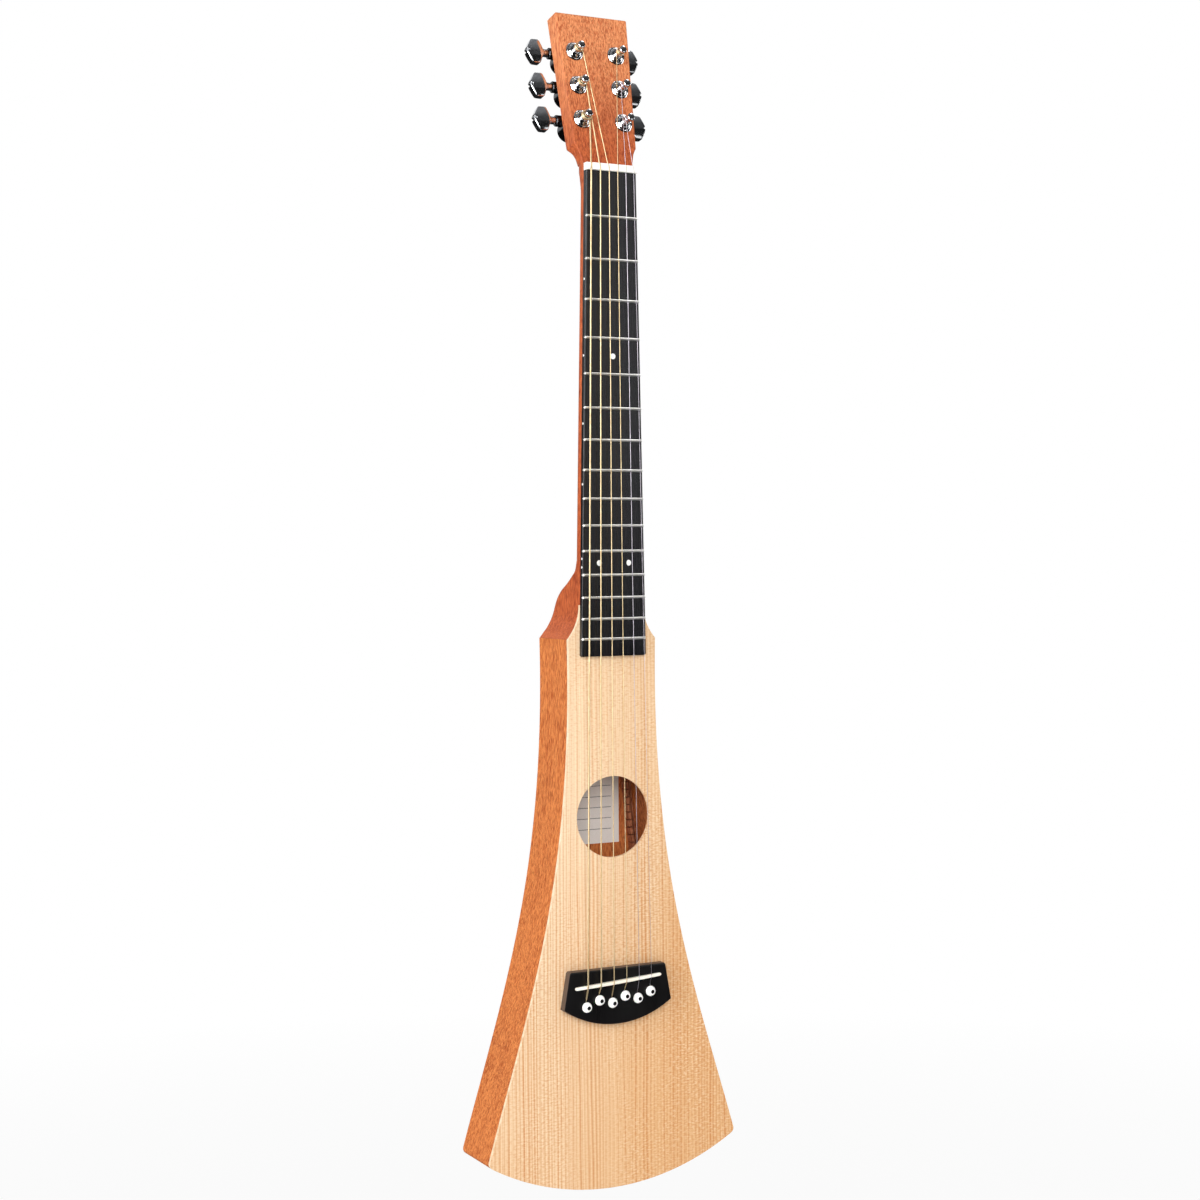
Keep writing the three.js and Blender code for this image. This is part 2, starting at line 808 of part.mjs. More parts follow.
// The ball end, as wider rings below the bridge plate, ahead of the pin
function ball_rings(index) {
  const pin = pin_place(index);
  const below = top_thickness + bridge_plate_thickness + running_gap;
  const z = pin.z + pin_shaft_radius + running_gap + ball_diameter / 2;
  const rings = [];
  for (const drop of [ball_length + running_gap, running_gap]) {
    const ring = [];
    for (let k = 0; k < tube_sides; k += 1) {
      const angle = (2 * Math.PI * k) / tube_sides;
      const x = pin.x + (ball_diameter / 2) * Math.cos(angle);
      ring.push(at(x, below + drop, z + (ball_diameter / 2) * Math.sin(angle)));
    }
    rings.push(ring);
  }
  return rings;
}

function string_geometry(index) {
  const run = string_run(index);
  return loft([...ball_rings(index), ...tube(run, string_diameters[index] / 2)]);
}

// The least gap between the sides of a winding's own turns
function least_gap(index) {
  const points = coil_points(index);
  let least = Infinity;
  for (let i = 0; i < points.length; i += 1) {
    for (let j = i + Math.floor(loop_steps / 2); j < points.length; j += 1) {
      least = Math.min(least, points[i].distanceTo(points[j]));
    }
  }
  return least - string_diameters[index];
}

for (let index = 0; index < string_count; index += 1) {
  const name = `string_${index + 1}`;
  const material = index < wound_string_count ? finishes.bronze : finishes.plain_steel;
  add_part(group, name, string_geometry(index), material);
  console.log(`${name}: ${winding_turns[index]} turns, least gap ${least_gap(index).toFixed(2)} mm`);
}

// A prism that clears a string's straight run between two points and everything above it
function string_channel(from, to, index, top) {
  const radius = string_diameters[index] / 2;
  const half = radius + string_gap;
  const floor = radius + string_gap;
  const rings = [from, to].map((point) => [
    at(point.x - half, point.y + floor, point.z),
    at(point.x + half, point.y + floor, point.z),
    at(point.x + half, top, point.z),
    at(point.x - half, top, point.z),
  ]);
  return loft(rings);
}

// Nut, with a slot for each string that follows it down to its post
function nut_geometry() {
  const half = nut_width / 2;
  const top = fret_top + string_lift_at_nut + nut_rise;
  const points = [new THREE.Vector2(-half, 0), new THREE.Vector2(half, 0)];
  for (let i = 0; i <= board_steps; i += 1) {
    const x = half * (1 - (2 * i) / board_steps);
    points.push(new THREE.Vector2(x, -top + board_fall(x)));
  }
  const shape = new THREE.Shape(points);
  const blank = new THREE.ExtrudeGeometry(shape, { depth: nut_thickness, bevelEnabled: false });
  const channels = [];
  for (let index = 0; index < string_count; index += 1) {
    const start = at(nut_places[index], nut_height(index), 0);
    const slope = coil_points(index)[0].sub(start);
    slope.divideScalar(slope.z);
    const from = start.clone().addScaledVector(slope, -overrun);
    const to = start.clone().addScaledVector(slope, nut_thickness + overrun);
    channels.push(string_channel(from, to, index, -top - overrun));
  }
  return carve([blank], channels);
}
add_part(group, "nut", nut_geometry(), finishes.bone);

// Bridge, saddle and pins

function bridge_outline(edge_inset) {
  const front = bridge_front_width / 2 - edge_inset;
  const back = bridge_back_width / 2 - edge_inset;
  const back_z = -bridge_front_station - bridge_depth;
  const sag = bridge_belly;
  const whole = bridge_back_width / 2;
  const radius = (whole * whole + sag * sag) / (2 * sag);
  const middle = back_z - sag + radius;
  const reach = radius - edge_inset;
  const sweep = Math.asin(back / reach);
  const belly_steps = 12;
  const points = [
    new THREE.Vector2(-front, -bridge_front_station - edge_inset),
    new THREE.Vector2(front, -bridge_front_station - edge_inset),
  ];
  for (let i = 0; i <= belly_steps; i += 1) {
    points.push(arc_point(reach, middle, sweep * (1 - (2 * i) / belly_steps)));
  }
  return points;
}

function saddle_frame(geometry) {
  return geometry.rotateY(-saddle_slant).translate(0, 0, -saddle_station);
}

function bridge_geometry() {
  const rings = [
    bridge_outline(0).map((p) => at(p.x, 0, p.y)),
    bridge_outline(0).map((p) => at(p.x, bridge_edge_round - bridge_thickness, p.y)),
    bridge_outline(bridge_edge_round).map((p) => at(p.x, -bridge_thickness, p.y)),
  ];
  const cutters = [];
  for (let index = 0; index < string_count; index += 1) {
    const pin = pin_place(index);
    cutters.push(plate(
      circle(pin.x, pin.z, pin_shaft_radius + running_gap, hole_steps),
      -bridge_thickness - overrun, overrun,
    ));
    const run = string_run(index);
    const [, bend, exit, ridge] = run;
    const top = -bridge_thickness - overrun;
    cutters.push(string_channel(exit, ridge, index, top - saddle_height));
    const hole_side = at(bend.x, bend.y, pin.z);
    const ramp_end = at(exit.x, exit.y, exit.z + string_gap);
    cutters.push(string_channel(bend, ramp_end, index, top));
    cutters.push(string_channel(hole_side, bend, index, top));
  }
  const slot_half_length = saddle_length / 2 + running_gap;
  const slot_half_width = saddle_thickness / 2 + running_gap;
  cutters.push(saddle_frame(block(
    at(-slot_half_length, -bridge_thickness - overrun, -slot_half_width),
    at(slot_half_length, saddle_seat_depth + running_gap - bridge_thickness, slot_half_width),
  )));
  return carve([loft(rings)], cutters);
}
add_part(group, "bridge", bridge_geometry(), finishes.bridge);

function saddle_geometry() {
  const rings = [];
  const half = saddle_thickness / 2;
  const fall = half * Math.tan(saddle_ridge_slope);
  for (let i = 0; i <= board_steps; i += 1) {
    const x = saddle_length * (i / board_steps - 0.5);
    const top = -saddle_height + board_fall(x);
    const bottom = saddle_seat_depth - bridge_thickness;
    rings.push([
      at(x, bottom, half),
      at(x, bottom, -half),
      at(x, top + fall, -half),
      at(x, top, 0),
      at(x, top + fall, half),
    ]);
  }
  return saddle_frame(loft(rings));
}
add_part(group, "saddle", saddle_geometry(), finishes.bone);

// A pin: tapered shaft with a groove for its string, a collar and a domed head. The head's
// profile is given as shares of its radius and height.
const pin_head_shares = [[0.8, 0], [1, 0.12], [1, 0.31], [0.86, 0.68], [0.5, 0.93], [0, 1]];
function pin_geometry(index) {
  const pin = pin_place(index);
  const radius = string_diameters[index] / 2;
  const seat = running_gap;
  const profile = [
    [0, -pin_shaft_length],
    [pin_tip_radius, -pin_shaft_length + pin_tip_radius / 2],
    [pin_shaft_radius, 0],
    ...pin_head_shares.map(([out, rise]) => [pin_head_radius * out, seat + pin_head_height * rise]),
  ];
  const shape = turned(profile, hole_steps);
  const groove_half = radius + string_gap;
  const groove = block(
    at(-groove_half, groove_offset(index) - radius - string_gap, -pin_shaft_length - overrun),
    at(groove_half, pin_head_radius + overrun, 0),
  );
  const cut = carve([shape], [groove]);
  return cut.rotateX(Math.PI / 2).translate(pin.x, -bridge_thickness, pin.z);
}
for (let index = 0; index < string_count; index += 1) {
  add_part(group, `bridge_pin_${index + 1}`, pin_geometry(index), finishes.bone);
}

// Body: soundboard, back plate, two sides, tail panel and what stiffens them

function pin_holes() {
  const holes = [];
  for (let index = 0; index < string_count; index += 1) {
    const pin = pin_place(index);
    holes.push(circle(pin.x, pin.z, pin_shaft_radius + running_gap, hole_steps));
  }
  return holes;
}

const top_outline = [...cove, ...edge.slice(1), ...mirrored(edge).slice(1, -1), ...mirrored(cove)];
const soundhole = circle(0, -soundhole_station, soundhole_diameter / 2, soundhole_steps);
const soundboard = plate(top_outline, 0, top_thickness, [soundhole, ...pin_holes()]);
add_part(group, "soundboard", soundboard, finishes.spruce);

const back_outline = [...edge, ...mirrored(edge).slice(1)];
add_part(group, "back", plate(back_outline, back_seat, body_depth), finishes.mahogany);

// The body's rim, between two distances inside its edge, is open at the neck's heel.
function rim(outer, inner, near, far) {
  const whole = plate([...outer, ...mirrored(outer).slice(1)], near, far);
  const lift = new THREE.Vector2(inner[0].x, inner[0].y + overrun);
  const half = [lift, ...inner];
  const room = plate([...half, ...mirrored(half).slice(1)], near - overrun, far + overrun);
  return carve([whole], [room]);
}

// Sides and tail panel: the rim with its linings, split at the joints near the tail corners
const side_inside = body_edge(side_thickness, 0);
const lining_inside = body_edge(side_thickness + lining_width, 0);
const lining_outside = body_edge(side_thickness - running_gap, 0);
const lining_start = -heel_block_end - running_gap;

function rim_with_linings() {
  const top_end = top_thickness + lining_height;
  const back_start = back_seat - lining_height;
  const linings = [
    rim(lining_outside, lining_inside, top_thickness, top_end),
    rim(lining_outside, lining_inside, back_start, back_seat),
  ];
  const heel_room = block(
    at(-tail_half, -overrun, lining_start),
    at(tail_half, body_depth + overrun, 0),
  );
  const lower = linings.map((lining) => carve([lining], [heel_room]));
  return carve([rim(edge, side_inside, top_thickness, back_seat), ...lower]);
}

const whole_rim = rim_with_linings();
function rim_piece(low_x, high_x, low_z, high_z) {
  const room = block(at(low_x, 0, low_z), at(high_x, body_depth, high_z));
  return to_geometry(to_solid(whole_rim).intersect(to_solid(room)));
}
const wide = tail_half + overrun;
const side_bass = rim_piece(-wide, 0, -tail_joint_station, 0);
const side_treble = rim_piece(0, wide, -tail_joint_station, 0);
add_part(group, "side_bass", side_bass, finishes.mahogany);
add_part(group, "side_treble", side_treble, finishes.mahogany);

const tail_block = block(
  at(-tail_block_width / 2, top_thickness, -tail_station + side_thickness),
  at(tail_block_width / 2, back_seat, -tail_station + side_thickness + tail_block_thickness),
);
const tail_rim = rim_piece(-wide, wide, -tail_station - overrun, -tail_joint_station);
add_part(group, "tail_panel", carve([tail_rim, tail_block]), finishes.mahogany);

// Half the clear width inside the body at a station, measured between the linings
function inner_half(z) {
  const low = lining_inside.findIndex((point) => point.y <= z);
  const above = lining_inside[low - 1];
  const below = lining_inside[low];
  const share = (above.y - z) / (above.y - below.y);
  return above.x + (below.x - above.x) * share - running_gap;
}

function brace(station, near, far) {
  const half = inner_half(-station + brace_width / 2);
  return block(
    at(-half, near, -station - brace_width / 2),
    at(half, far, -station + brace_width / 2),
  );
}
const brace_end = top_thickness + brace_height;
add_part(group, "upper_brace", brace(upper_brace_station, top_thickness, brace_end), finishes.spruce);
add_part(group, "lower_brace", brace(lower_brace_station, top_thickness, brace_end), finishes.spruce);
const back_brace = brace(back_brace_station, back_seat - brace_height, back_seat);
add_part(group, "back_brace", back_brace, finishes.spruce);

const plate_front = -bridge_front_station + (bridge_plate_depth - bridge_depth - bridge_belly) / 2;
const plate_half = bridge_plate_width / 2;
const bridge_plate = plate(
  [
    new THREE.Vector2(-plate_half, plate_front - bridge_plate_depth),
    new THREE.Vector2(plate_half, plate_front - bridge_plate_depth),
    new THREE.Vector2(plate_half, plate_front),
    new THREE.Vector2(-plate_half, plate_front),
  ],
  top_thickness, top_thickness + bridge_plate_thickness, pin_holes(),
);
add_part(group, "bridge_plate", bridge_plate, finishes.mahogany);

// Tuning machines. Each is built about its own post axis: x across the headstock, y up it,
// z out of its face. The worm shaft lies behind the wood, above the post, and points sideways.

const worm_z = -head_thickness - worm_depth;

function along_x(geometry, x, y, z) {
  return geometry.rotateY(Math.PI / 2).translate(x, y, z);
}

function rod_along_x(radius, from, to, steps = hole_steps) {
  const bar = turned([[0, from], [radius, from], [radius, to], [0, to]], steps);
  return along_x(bar, 0, worm_offset, worm_z);
}

function housing_geometry(side) {
  const back = -head_thickness - running_gap;
  const far = back - case_depth;
  const shell = turned([
    [0, far],
    [case_radius - case_edge_round, far],
    [case_radius, far + case_edge_round],
    [case_radius, back],
    [0, back],
  ]);
  const boss = rod_along_x(boss_radius, -side * boss_inner_reach, side * boss_outer_reach);
  const ear_back = back - ear_thickness;
  const ear = turned([[0, ear_back], [ear_radius, ear_back], [ear_radius, back], [0, back]], hole_steps);
  ear.translate(0, -ear_reach, 0);
  const sleeve = turned([
    [0, back - overrun],
    [sleeve_radius, back - overrun],
    [sleeve_radius, running_gap],
    [flange_radius, running_gap],
    [flange_radius, flange_rim],
    [sleeve_radius, flange_height],
    [0, flange_height],
  ]);
  const post_bore = turned([
    [0, back - case_wall - overrun],
    [post_radius + running_gap, back - case_wall - overrun],
    [post_radius + running_gap, flange_height + overrun],
    [0, flange_height + overrun],
  ]);
  const gear_reach = gear_pitch_radius + gear_tooth_height / 2 + running_gap;
  const cavity = turned([
    [0, far + case_wall],
    [gear_reach + running_gap, far + case_wall],
    [gear_reach + running_gap, back - case_wall],
    [0, back - case_wall],
  ]);
  const worm_reach = worm_length / 2 + running_gap;
  const thread_bore_radius = worm_pitch_radius + worm_thread_height / 2 + 2 * running_gap;
  const thread_bore = rod_along_x(thread_bore_radius, -worm_reach, worm_reach);
  const shaft_bore = rod_along_x(shaft_radius + running_gap, 0, side * (boss_outer_reach + overrun));
  return carve([shell, boss, ear, sleeve], [post_bore, cavity, thread_bore, shaft_bore]);
}

// The worm's radius at an angle and a place along it: a trapezoid thread, right-handed about +X
const thread_crest_share = 0.18;
const thread_flank_share = 0.12;
function worm_radius(angle, x) {
  const root = worm_pitch_radius - worm_thread_height / 2;
  const turns = x / worm_lead - angle / (2 * Math.PI);
  const share = Math.abs(turns - Math.round(turns));
  const from_crest = (share - thread_crest_share / 2) / thread_flank_share;
  return root + worm_thread_height * THREE.MathUtils.clamp(1 - from_crest, 0, 1);
}

// Worm rings along X. Angle zero faces the gear, and a groove is there at x = 0.
const worm_rows_per_turn = 4;
const worm_steps = 8;
function worm_geometry() {
  const rings = [];
  const half = worm_length / 2;
  const rows = worm_turns * worm_rows_per_turn;
  for (let row = 0; row <= rows; row += 1) {
    const x = -half + (worm_lead * row) / worm_rows_per_turn;
    const at_end = row === 0 || row === rows;
    const ring = [];
    for (let k = 0; k < worm_steps; k += 1) {
      const angle = (2 * Math.PI * k) / worm_steps;
      const root = worm_pitch_radius - worm_thread_height / 2;
      const radius = at_end ? root : worm_radius(angle + Math.PI, x);
      // Right-handed about +X, starting from the side that faces the gear
      ring.push(at(x, worm_offset - radius * Math.cos(angle), worm_z - radius * Math.sin(angle)));
    }
    rings.push(ring);
  }
  return loft(rings);
}

// The button's outline, as shares of its half height and its length from the shaft outwards
const button_shares = [
  [0.0, 0.5], [0.18, 0.84], [0.42, 1.0], [0.8, 0.97], [1.0, 0.6],
];
function button_geometry(side) {
  const half = button_height / 2 - button_bevel;
  const reach = button_length - 2 * button_bevel;
  const upper = button_shares.map(([x, y]) => new THREE.Vector2(x * reach, y * half));
  const lower = upper.map((point) => new THREE.Vector2(point.x, -point.y)).reverse();
  const shape = new THREE.Shape([...lower, ...upper]);
  const paddle = new THREE.ExtrudeGeometry(shape, {
    depth: button_thickness - 2 * button_bevel,
    bevelEnabled: true,
    bevelThickness: button_bevel,
    bevelSize: button_bevel,
    bevelSegments: 1,
    curveSegments: 1,
  });
  const paddle_back = worm_z + button_bevel - button_thickness / 2;
  paddle.translate(button_inner + button_bevel, worm_offset, paddle_back);
  if (side < 0) paddle.scale(-1, 1, 1);
  const collar = rod_along_x(
    button_collar_radius,
    side * (button_inner - button_collar_length),
    side * (button_inner + button_bevel),
  );
  const shaft_start = worm_length / 2 - running_gap;
  const shaft = rod_along_x(shaft_radius, side * shaft_start, side * (button_inner + overrun));
  return carve([worm_geometry(), shaft, collar, paddle]);
}

// Gear wheel and string post in one: the gear meshes with the worm, with a tooth at +Y
const tooth_tip_share = 0.16;
const tooth_root_share = 0.34;
function gear_geometry() {
  const tip = gear_pitch_radius + gear_tooth_height / 2;
  const root = gear_pitch_radius - gear_tooth_height / 2;
  const tooth_angle = (2 * Math.PI) / gear_teeth;
  const rings = [[], []];
  for (let tooth = 0; tooth < gear_teeth; tooth += 1) {
    const middle = Math.PI / 2 + tooth * tooth_angle;
    const corners = [
      [root, -tooth_root_share / 2],
      [tip, -tooth_tip_share / 2],
      [tip, tooth_tip_share / 2],
      [root, tooth_root_share / 2],
    ];
    for (const [radius, share] of corners) {
      const angle = middle + share * tooth_angle;
      const x = radius * Math.cos(angle);
      const y = radius * Math.sin(angle);
      rings[0].push(at(x, y, worm_z - gear_face / 2));
      rings[1].push(at(x, y, worm_z + gear_face / 2));
    }
  }
  return loft(rings);
}

function post_geometry() {
  const low = worm_z;
  const profile = [
    [0, low],
    [post_radius, low],
    [post_radius, post_neck_height],
    [post_waist_radius, post_neck_height + post_radius - post_waist_radius],
    [post_waist_radius, post_height - post_cap_height - post_radius + post_waist_radius],
    [post_radius, post_height - post_cap_height],
    [post_radius, post_height - (post_radius - post_waist_radius)],
    [post_waist_radius, post_height],
    [0, post_height],
  ];
  return carve([turned(profile, hole_steps), gear_geometry()]);
}

for (let number = 1; number <= string_count; number += 1) {
  const { side, x, up } = tuner_place(number);
  const seat = (geometry) => geometry.translate(x, up, 0);
  add_part(head, `tuner_${number}_housing`, seat(housing_geometry(side)), finishes.chrome);
  add_part(head, `tuner_${number}_button`, seat(button_geometry(side)), finishes.chrome);
  add_part(head, `tuner_${number}_post`, seat(post_geometry()), finishes.chrome);
}

export default group;
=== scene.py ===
# %% [markdown]
# # Dressing a slim travel guitar
# The guitar's construction comes in as a fixed frame: sixty plain solids at their true size. In this
# lesson each of them gets the finish of the real instrument. Wood, wire, bone and plated metal are
# all made by code, and every piece goes exactly where the frame has it, so nothing is fitted by eye.
# The units below are millimetres, because a guitar maker works in them, and a piece is brought to
# metres when its mesh is made. The origin is the front edge of the nut, +X is the treble side, +Y
# runs into the body and +Z up the neck.

# %% Load the frame
import math
from functools import partial

import bmesh
import bpy
from mathutils import Matrix, Vector
from mathutils.geometry import tessellate_polygon


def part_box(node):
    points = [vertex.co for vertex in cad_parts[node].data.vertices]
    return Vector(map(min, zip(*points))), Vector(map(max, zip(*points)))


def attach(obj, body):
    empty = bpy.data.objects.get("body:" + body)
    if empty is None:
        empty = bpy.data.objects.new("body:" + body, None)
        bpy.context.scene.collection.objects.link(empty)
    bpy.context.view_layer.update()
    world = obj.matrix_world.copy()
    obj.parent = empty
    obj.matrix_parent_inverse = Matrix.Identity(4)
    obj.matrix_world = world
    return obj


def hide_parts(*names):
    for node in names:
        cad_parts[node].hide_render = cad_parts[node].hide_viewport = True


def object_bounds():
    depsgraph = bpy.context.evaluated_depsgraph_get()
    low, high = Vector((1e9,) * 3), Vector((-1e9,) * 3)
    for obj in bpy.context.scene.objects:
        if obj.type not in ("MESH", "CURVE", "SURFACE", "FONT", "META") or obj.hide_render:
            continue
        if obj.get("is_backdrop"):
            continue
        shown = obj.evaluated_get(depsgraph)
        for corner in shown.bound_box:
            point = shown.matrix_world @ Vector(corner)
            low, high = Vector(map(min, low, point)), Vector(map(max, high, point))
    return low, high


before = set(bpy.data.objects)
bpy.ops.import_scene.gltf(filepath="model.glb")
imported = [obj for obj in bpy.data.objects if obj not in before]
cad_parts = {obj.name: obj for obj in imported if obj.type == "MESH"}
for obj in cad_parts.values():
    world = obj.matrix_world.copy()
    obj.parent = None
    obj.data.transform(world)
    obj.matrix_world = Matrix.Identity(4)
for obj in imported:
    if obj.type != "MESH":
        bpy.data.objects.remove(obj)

cad_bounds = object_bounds()
scene = bpy.context.scene
MM = 0.001

# %% [markdown]
# ## Camera
# A catalogue picture of a long instrument is taken from far off with a long lens, so that the neck
# doesn't run away. The place and the three angles here are those of the photograph. They are turned
# into one matrix: roll about the line of sight, then tilt, then heading.

# %% Camera
photo_size = 1200
focal_length_pixels = 2080.6
camera_place = Vector((-738.25, -1401.09, -287.48)) * MM
camera_heading = math.radians(27.46)
camera_tilt = math.radians(-1.32)
camera_roll = math.radians(-0.394)


def put(name, data):
    """An object with this data, put in the scene."""
    made = bpy.data.objects.new(name, data)
    scene.collection.objects.link(made)
    return made


lens = bpy.data.cameras.new("catalogue_camera")
lens.sensor_width = 36
lens.lens = focal_length_pixels / photo_size * lens.sensor_width
camera = put("catalogue_camera", lens)
turn = Matrix.Rotation(-camera_heading, 4, "Z") @ Matrix.Rotation(math.pi / 2 + camera_tilt, 4, "X")
turn = turn @ Matrix.Rotation(camera_roll, 4, "Z")
camera.matrix_world = Matrix.Translation(camera_place) @ turn
scene.camera = camera
scene.view_settings.view_transform = "Standard"
print(f"lens {lens.lens:.1f} mm")

# %% [markdown]
# ## Studio
# The picture has a white sweep and soft light. The world is plain white where the camera, a
# reflection or a glass looks at it, and much dimmer as a light, so that the lamps can shape the
# wood. The main soft panel stands just behind the camera, a little to its left, and smaller ones
# stand at both sides, above and behind. Dark cloth with a few openings stands round the guitar and
# is seen in reflections only. Without it, plated metal and satin black would mirror nothing but
# white. Every tree of nodes in this lesson is put together by one small helper, `add_node`.

# %% World
world_light = 0.32
pure_white = (1, 1, 1, 1)


def add_node(tree, kind, sockets=None, **settings):
    """A new node with its settings made and its sockets filled with values or other nodes' outputs."""
    made = tree.nodes.new(kind)
    for setting, value in settings.items():
        setattr(made, setting, value)
    for key, value in (sockets or {}).items():
        if isinstance(value, bpy.types.NodeSocket):
            tree.links.new(value, made.inputs[key])
        else:
            made.inputs[key].default_value = value
    return made


def calculate(tree, operation, *values, clamp=False):
    """The result of a math node, which materials and geometry trees both have."""
    sockets = dict(enumerate(values))
    return add_node(tree, "ShaderNodeMath", sockets, operation=operation, use_clamp=clamp).outputs[0]


def seen_directly(tree):
    """A socket that is 1 for rays from the camera, from a reflection or through glass."""
    path = add_node(tree, "ShaderNodeLightPath").outputs
    either = calculate(tree, "MAXIMUM", path["Is Camera Ray"], path["Is Glossy Ray"])
    return calculate(tree, "MAXIMUM", either, path["Is Transmission Ray"])


def end_in_mix(tree, share, first, second, output):
    mixed = add_node(tree, "ShaderNodeMixShader", {0: share, 1: first.outputs[0], 2: second.outputs[0]})
    add_node(tree, output, {"Surface": mixed.outputs[0]})


world = bpy.data.worlds.new("white_sweep")
world.use_nodes = True
scene.world = world
sky = world.node_tree
sky.nodes.clear()
lighting = add_node(sky, "ShaderNodeBackground", {"Color": pure_white, "Strength": world_light})
white = add_node(sky, "ShaderNodeBackground", {"Color": pure_white, "Strength": 1})
end_in_mix(sky, seen_directly(sky), lighting, white, "ShaderNodeOutputWorld")
print("nodes in the world:", len(sky.nodes))

# %% Lamps
middle_of_guitar = Vector((0, 20, -330)) * MM


def soft_panel(name, place, width, height, watts):
    """A rectangular lamp at a place in metres, turned towards the middle of the guitar."""
    lamp = bpy.data.lights.new(name, "AREA")
    lamp.shape = "RECTANGLE"
    lamp.size = width
    lamp.size_y = height
    lamp.energy = watts
    panel = put(name, lamp)
    panel.location = place
    panel.rotation_mode = "QUATERNION"
    panel.rotation_quaternion = (middle_of_guitar - Vector(place)).to_track_quat("-Z", "Y")
    return panel


soft_panel("main_panel", (-0.87, -2.15, 0.52), 1.5, 1.6, 41.5)
soft_panel("high_panel", (1.16, -0.31, 1.88), 0.9, 0.5, 8)
soft_panel("left_panel", (-2.15, -0.5, 0.15), 0.7, 1.8, 37)
soft_panel("right_panel", (2.3, -0.5, -0.1), 0.6, 1.6, 10)
soft_panel("back_panel", (0.4, 1.5, 1.5), 1.4, 1.0, 14).visible_glossy = False

# %% Floor
floor_drop = 1.3
floor_half = 12
fade_start, fade_end = 0.8, 3.0
least_glow = 0.8


def stage_mesh(name, points, faces, material):
    mesh = bpy.data.meshes.new(name)
    mesh.from_pydata(points, [], faces)
    mesh.materials.append(material)
    piece = put(name, mesh)
    piece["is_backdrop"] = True
    return piece


def floor_material():
    """Pale paint that keeps the shadow near the guitar and fades into the white sweep far away."""
    material = bpy.data.materials.new("pale_floor")
    material.use_nodes = True
    tree = material.node_tree
    tree.nodes.clear()
    paint = add_node(tree, "ShaderNodeBsdfDiffuse", {"Color": (0.92, 0.92, 0.92, 1)})
    glow = add_node(tree, "ShaderNodeEmission", {"Color": pure_white, "Strength": 1})
    place = add_node(tree, "ShaderNodeTexCoord").outputs["Object"]
    distance = add_node(tree, "ShaderNodeVectorMath", {0: place}, operation="LENGTH").outputs["Value"]
    fade = add_node(tree, "ShaderNodeMapRange", {"Value": distance, "From Min": fade_start, "From Max": fade_end,
                                                 "To Min": least_glow, "To Max": 1})
    share = calculate(tree, "MULTIPLY", fade.outputs["Result"], seen_directly(tree))
    end_in_mix(tree, share, paint, glow, "ShaderNodeOutputMaterial")
    return material


corners = [(x * floor_half, y * floor_half, 0) for x, y in ((-1, -1), (1, -1), (1, 1), (-1, 1))]
floor = stage_mesh("floor", corners, [(0, 1, 2, 3)], floor_material())
floor.location = (0, 0, -floor_drop)
print(f"floor {2 * floor_half} m wide, {floor_drop} m below the nut")

# %% Studio cloth
cloth_radius = 2.9
cloth_clearance = 0.92
cloth_step = 6
cloth_low, cloth_high = -1.3, 2.7
# Place between the cloth's lowest and highest point, and how bright its paint is there
cloth_greys = [(0.0, 0.008), (0.655, 0.01), (0.665, 0.05), (0.74, 0.06), (0.82, 0.2), (0.9, 0.26), (1.0, 0.2)]
# Openings in the cloth: from and to, round the guitar, then from and to in height, in degrees
cloth_openings = [(-114, -66, -30, 36), (18, 42, 0, 24), (54, 96, -66, -54), (144, 180, -6, 36),
                  (-168, -144, 12, 54)]


def cloth_material():
    """Black up to head height and grey above it, as a cloth looks under a dim ceiling."""
    material = bpy.data.materials.new("dark_cloth")
    material.use_nodes = True
    tree = material.node_tree
    place = add_node(tree, "ShaderNodeTexCoord").outputs["Object"]
    up = add_node(tree, "ShaderNodeSeparateXYZ", {0: place}).outputs["Z"]
    height = add_node(tree, "ShaderNodeMapRange", {"Value": up, "From Min": cloth_low, "From Max": cloth_high})
    ramp = add_node(tree, "ShaderNodeValToRGB", {"Fac": height.outputs["Result"]})
    elements = ramp.color_ramp.elements
    for k, (position, grey) in enumerate(cloth_greys):
        element = elements[k] if k < 2 else elements.new(position)
        element.position = position
        element.color = (grey, grey * 1.01, grey * 1.04, 1)
    shader = tree.nodes["Principled BSDF"]
    shader.inputs["Roughness"].default_value = 1
    tree.links.new(ramp.outputs["Color"], shader.inputs["Base Color"])
    return material


def cloth_point(azimuth, elevation):
    """A point of the cloth, from its angle off the front (right is positive) and its height."""
    a, e = math.radians(azimuth), math.radians(elevation)
    reach = min(cloth_radius, cloth_clearance / -math.sin(e)) if e < 0 else cloth_radius
    way = Vector((math.sin(a) * math.cos(e), -math.cos(a) * math.cos(e), math.sin(e)))
    return middle_of_guitar + reach * way


cloth_points, cloth_faces = [], []
for azimuth in range(-180, 180, cloth_step):
    for elevation in range(-72, 84, cloth_step):
        if any(a <= azimuth < b and c <= elevation < d for a, b, c, d in cloth_openings):
            continue
        start = len(cloth_points)
        for a, e in ((0, 0), (1, 0), (1, 1), (0, 1)):
            cloth_points.append(cloth_point(azimuth + a * cloth_step, elevation + e * cloth_step))
        cloth_faces.append((start, start + 1, start + 2, start + 3))
cloth = stage_mesh("studio_cloth", cloth_points, cloth_faces, cloth_material())
for kind in ("camera", "diffuse", "shadow", "transmission"):
    setattr(cloth, f"visible_{kind}", False)
print("cloth cells:", len(cloth_faces))

# %% [markdown]
# ## Finishes
# Every finish is a small network of nodes on object coordinates, in metres, so its grain has a real
# size and stays put when a piece moves. A `Recipe` keeps the making short: it has a short name for
# each kind of node that a finish needs.

# %% A recipe for materials
PER_METRE = 1000


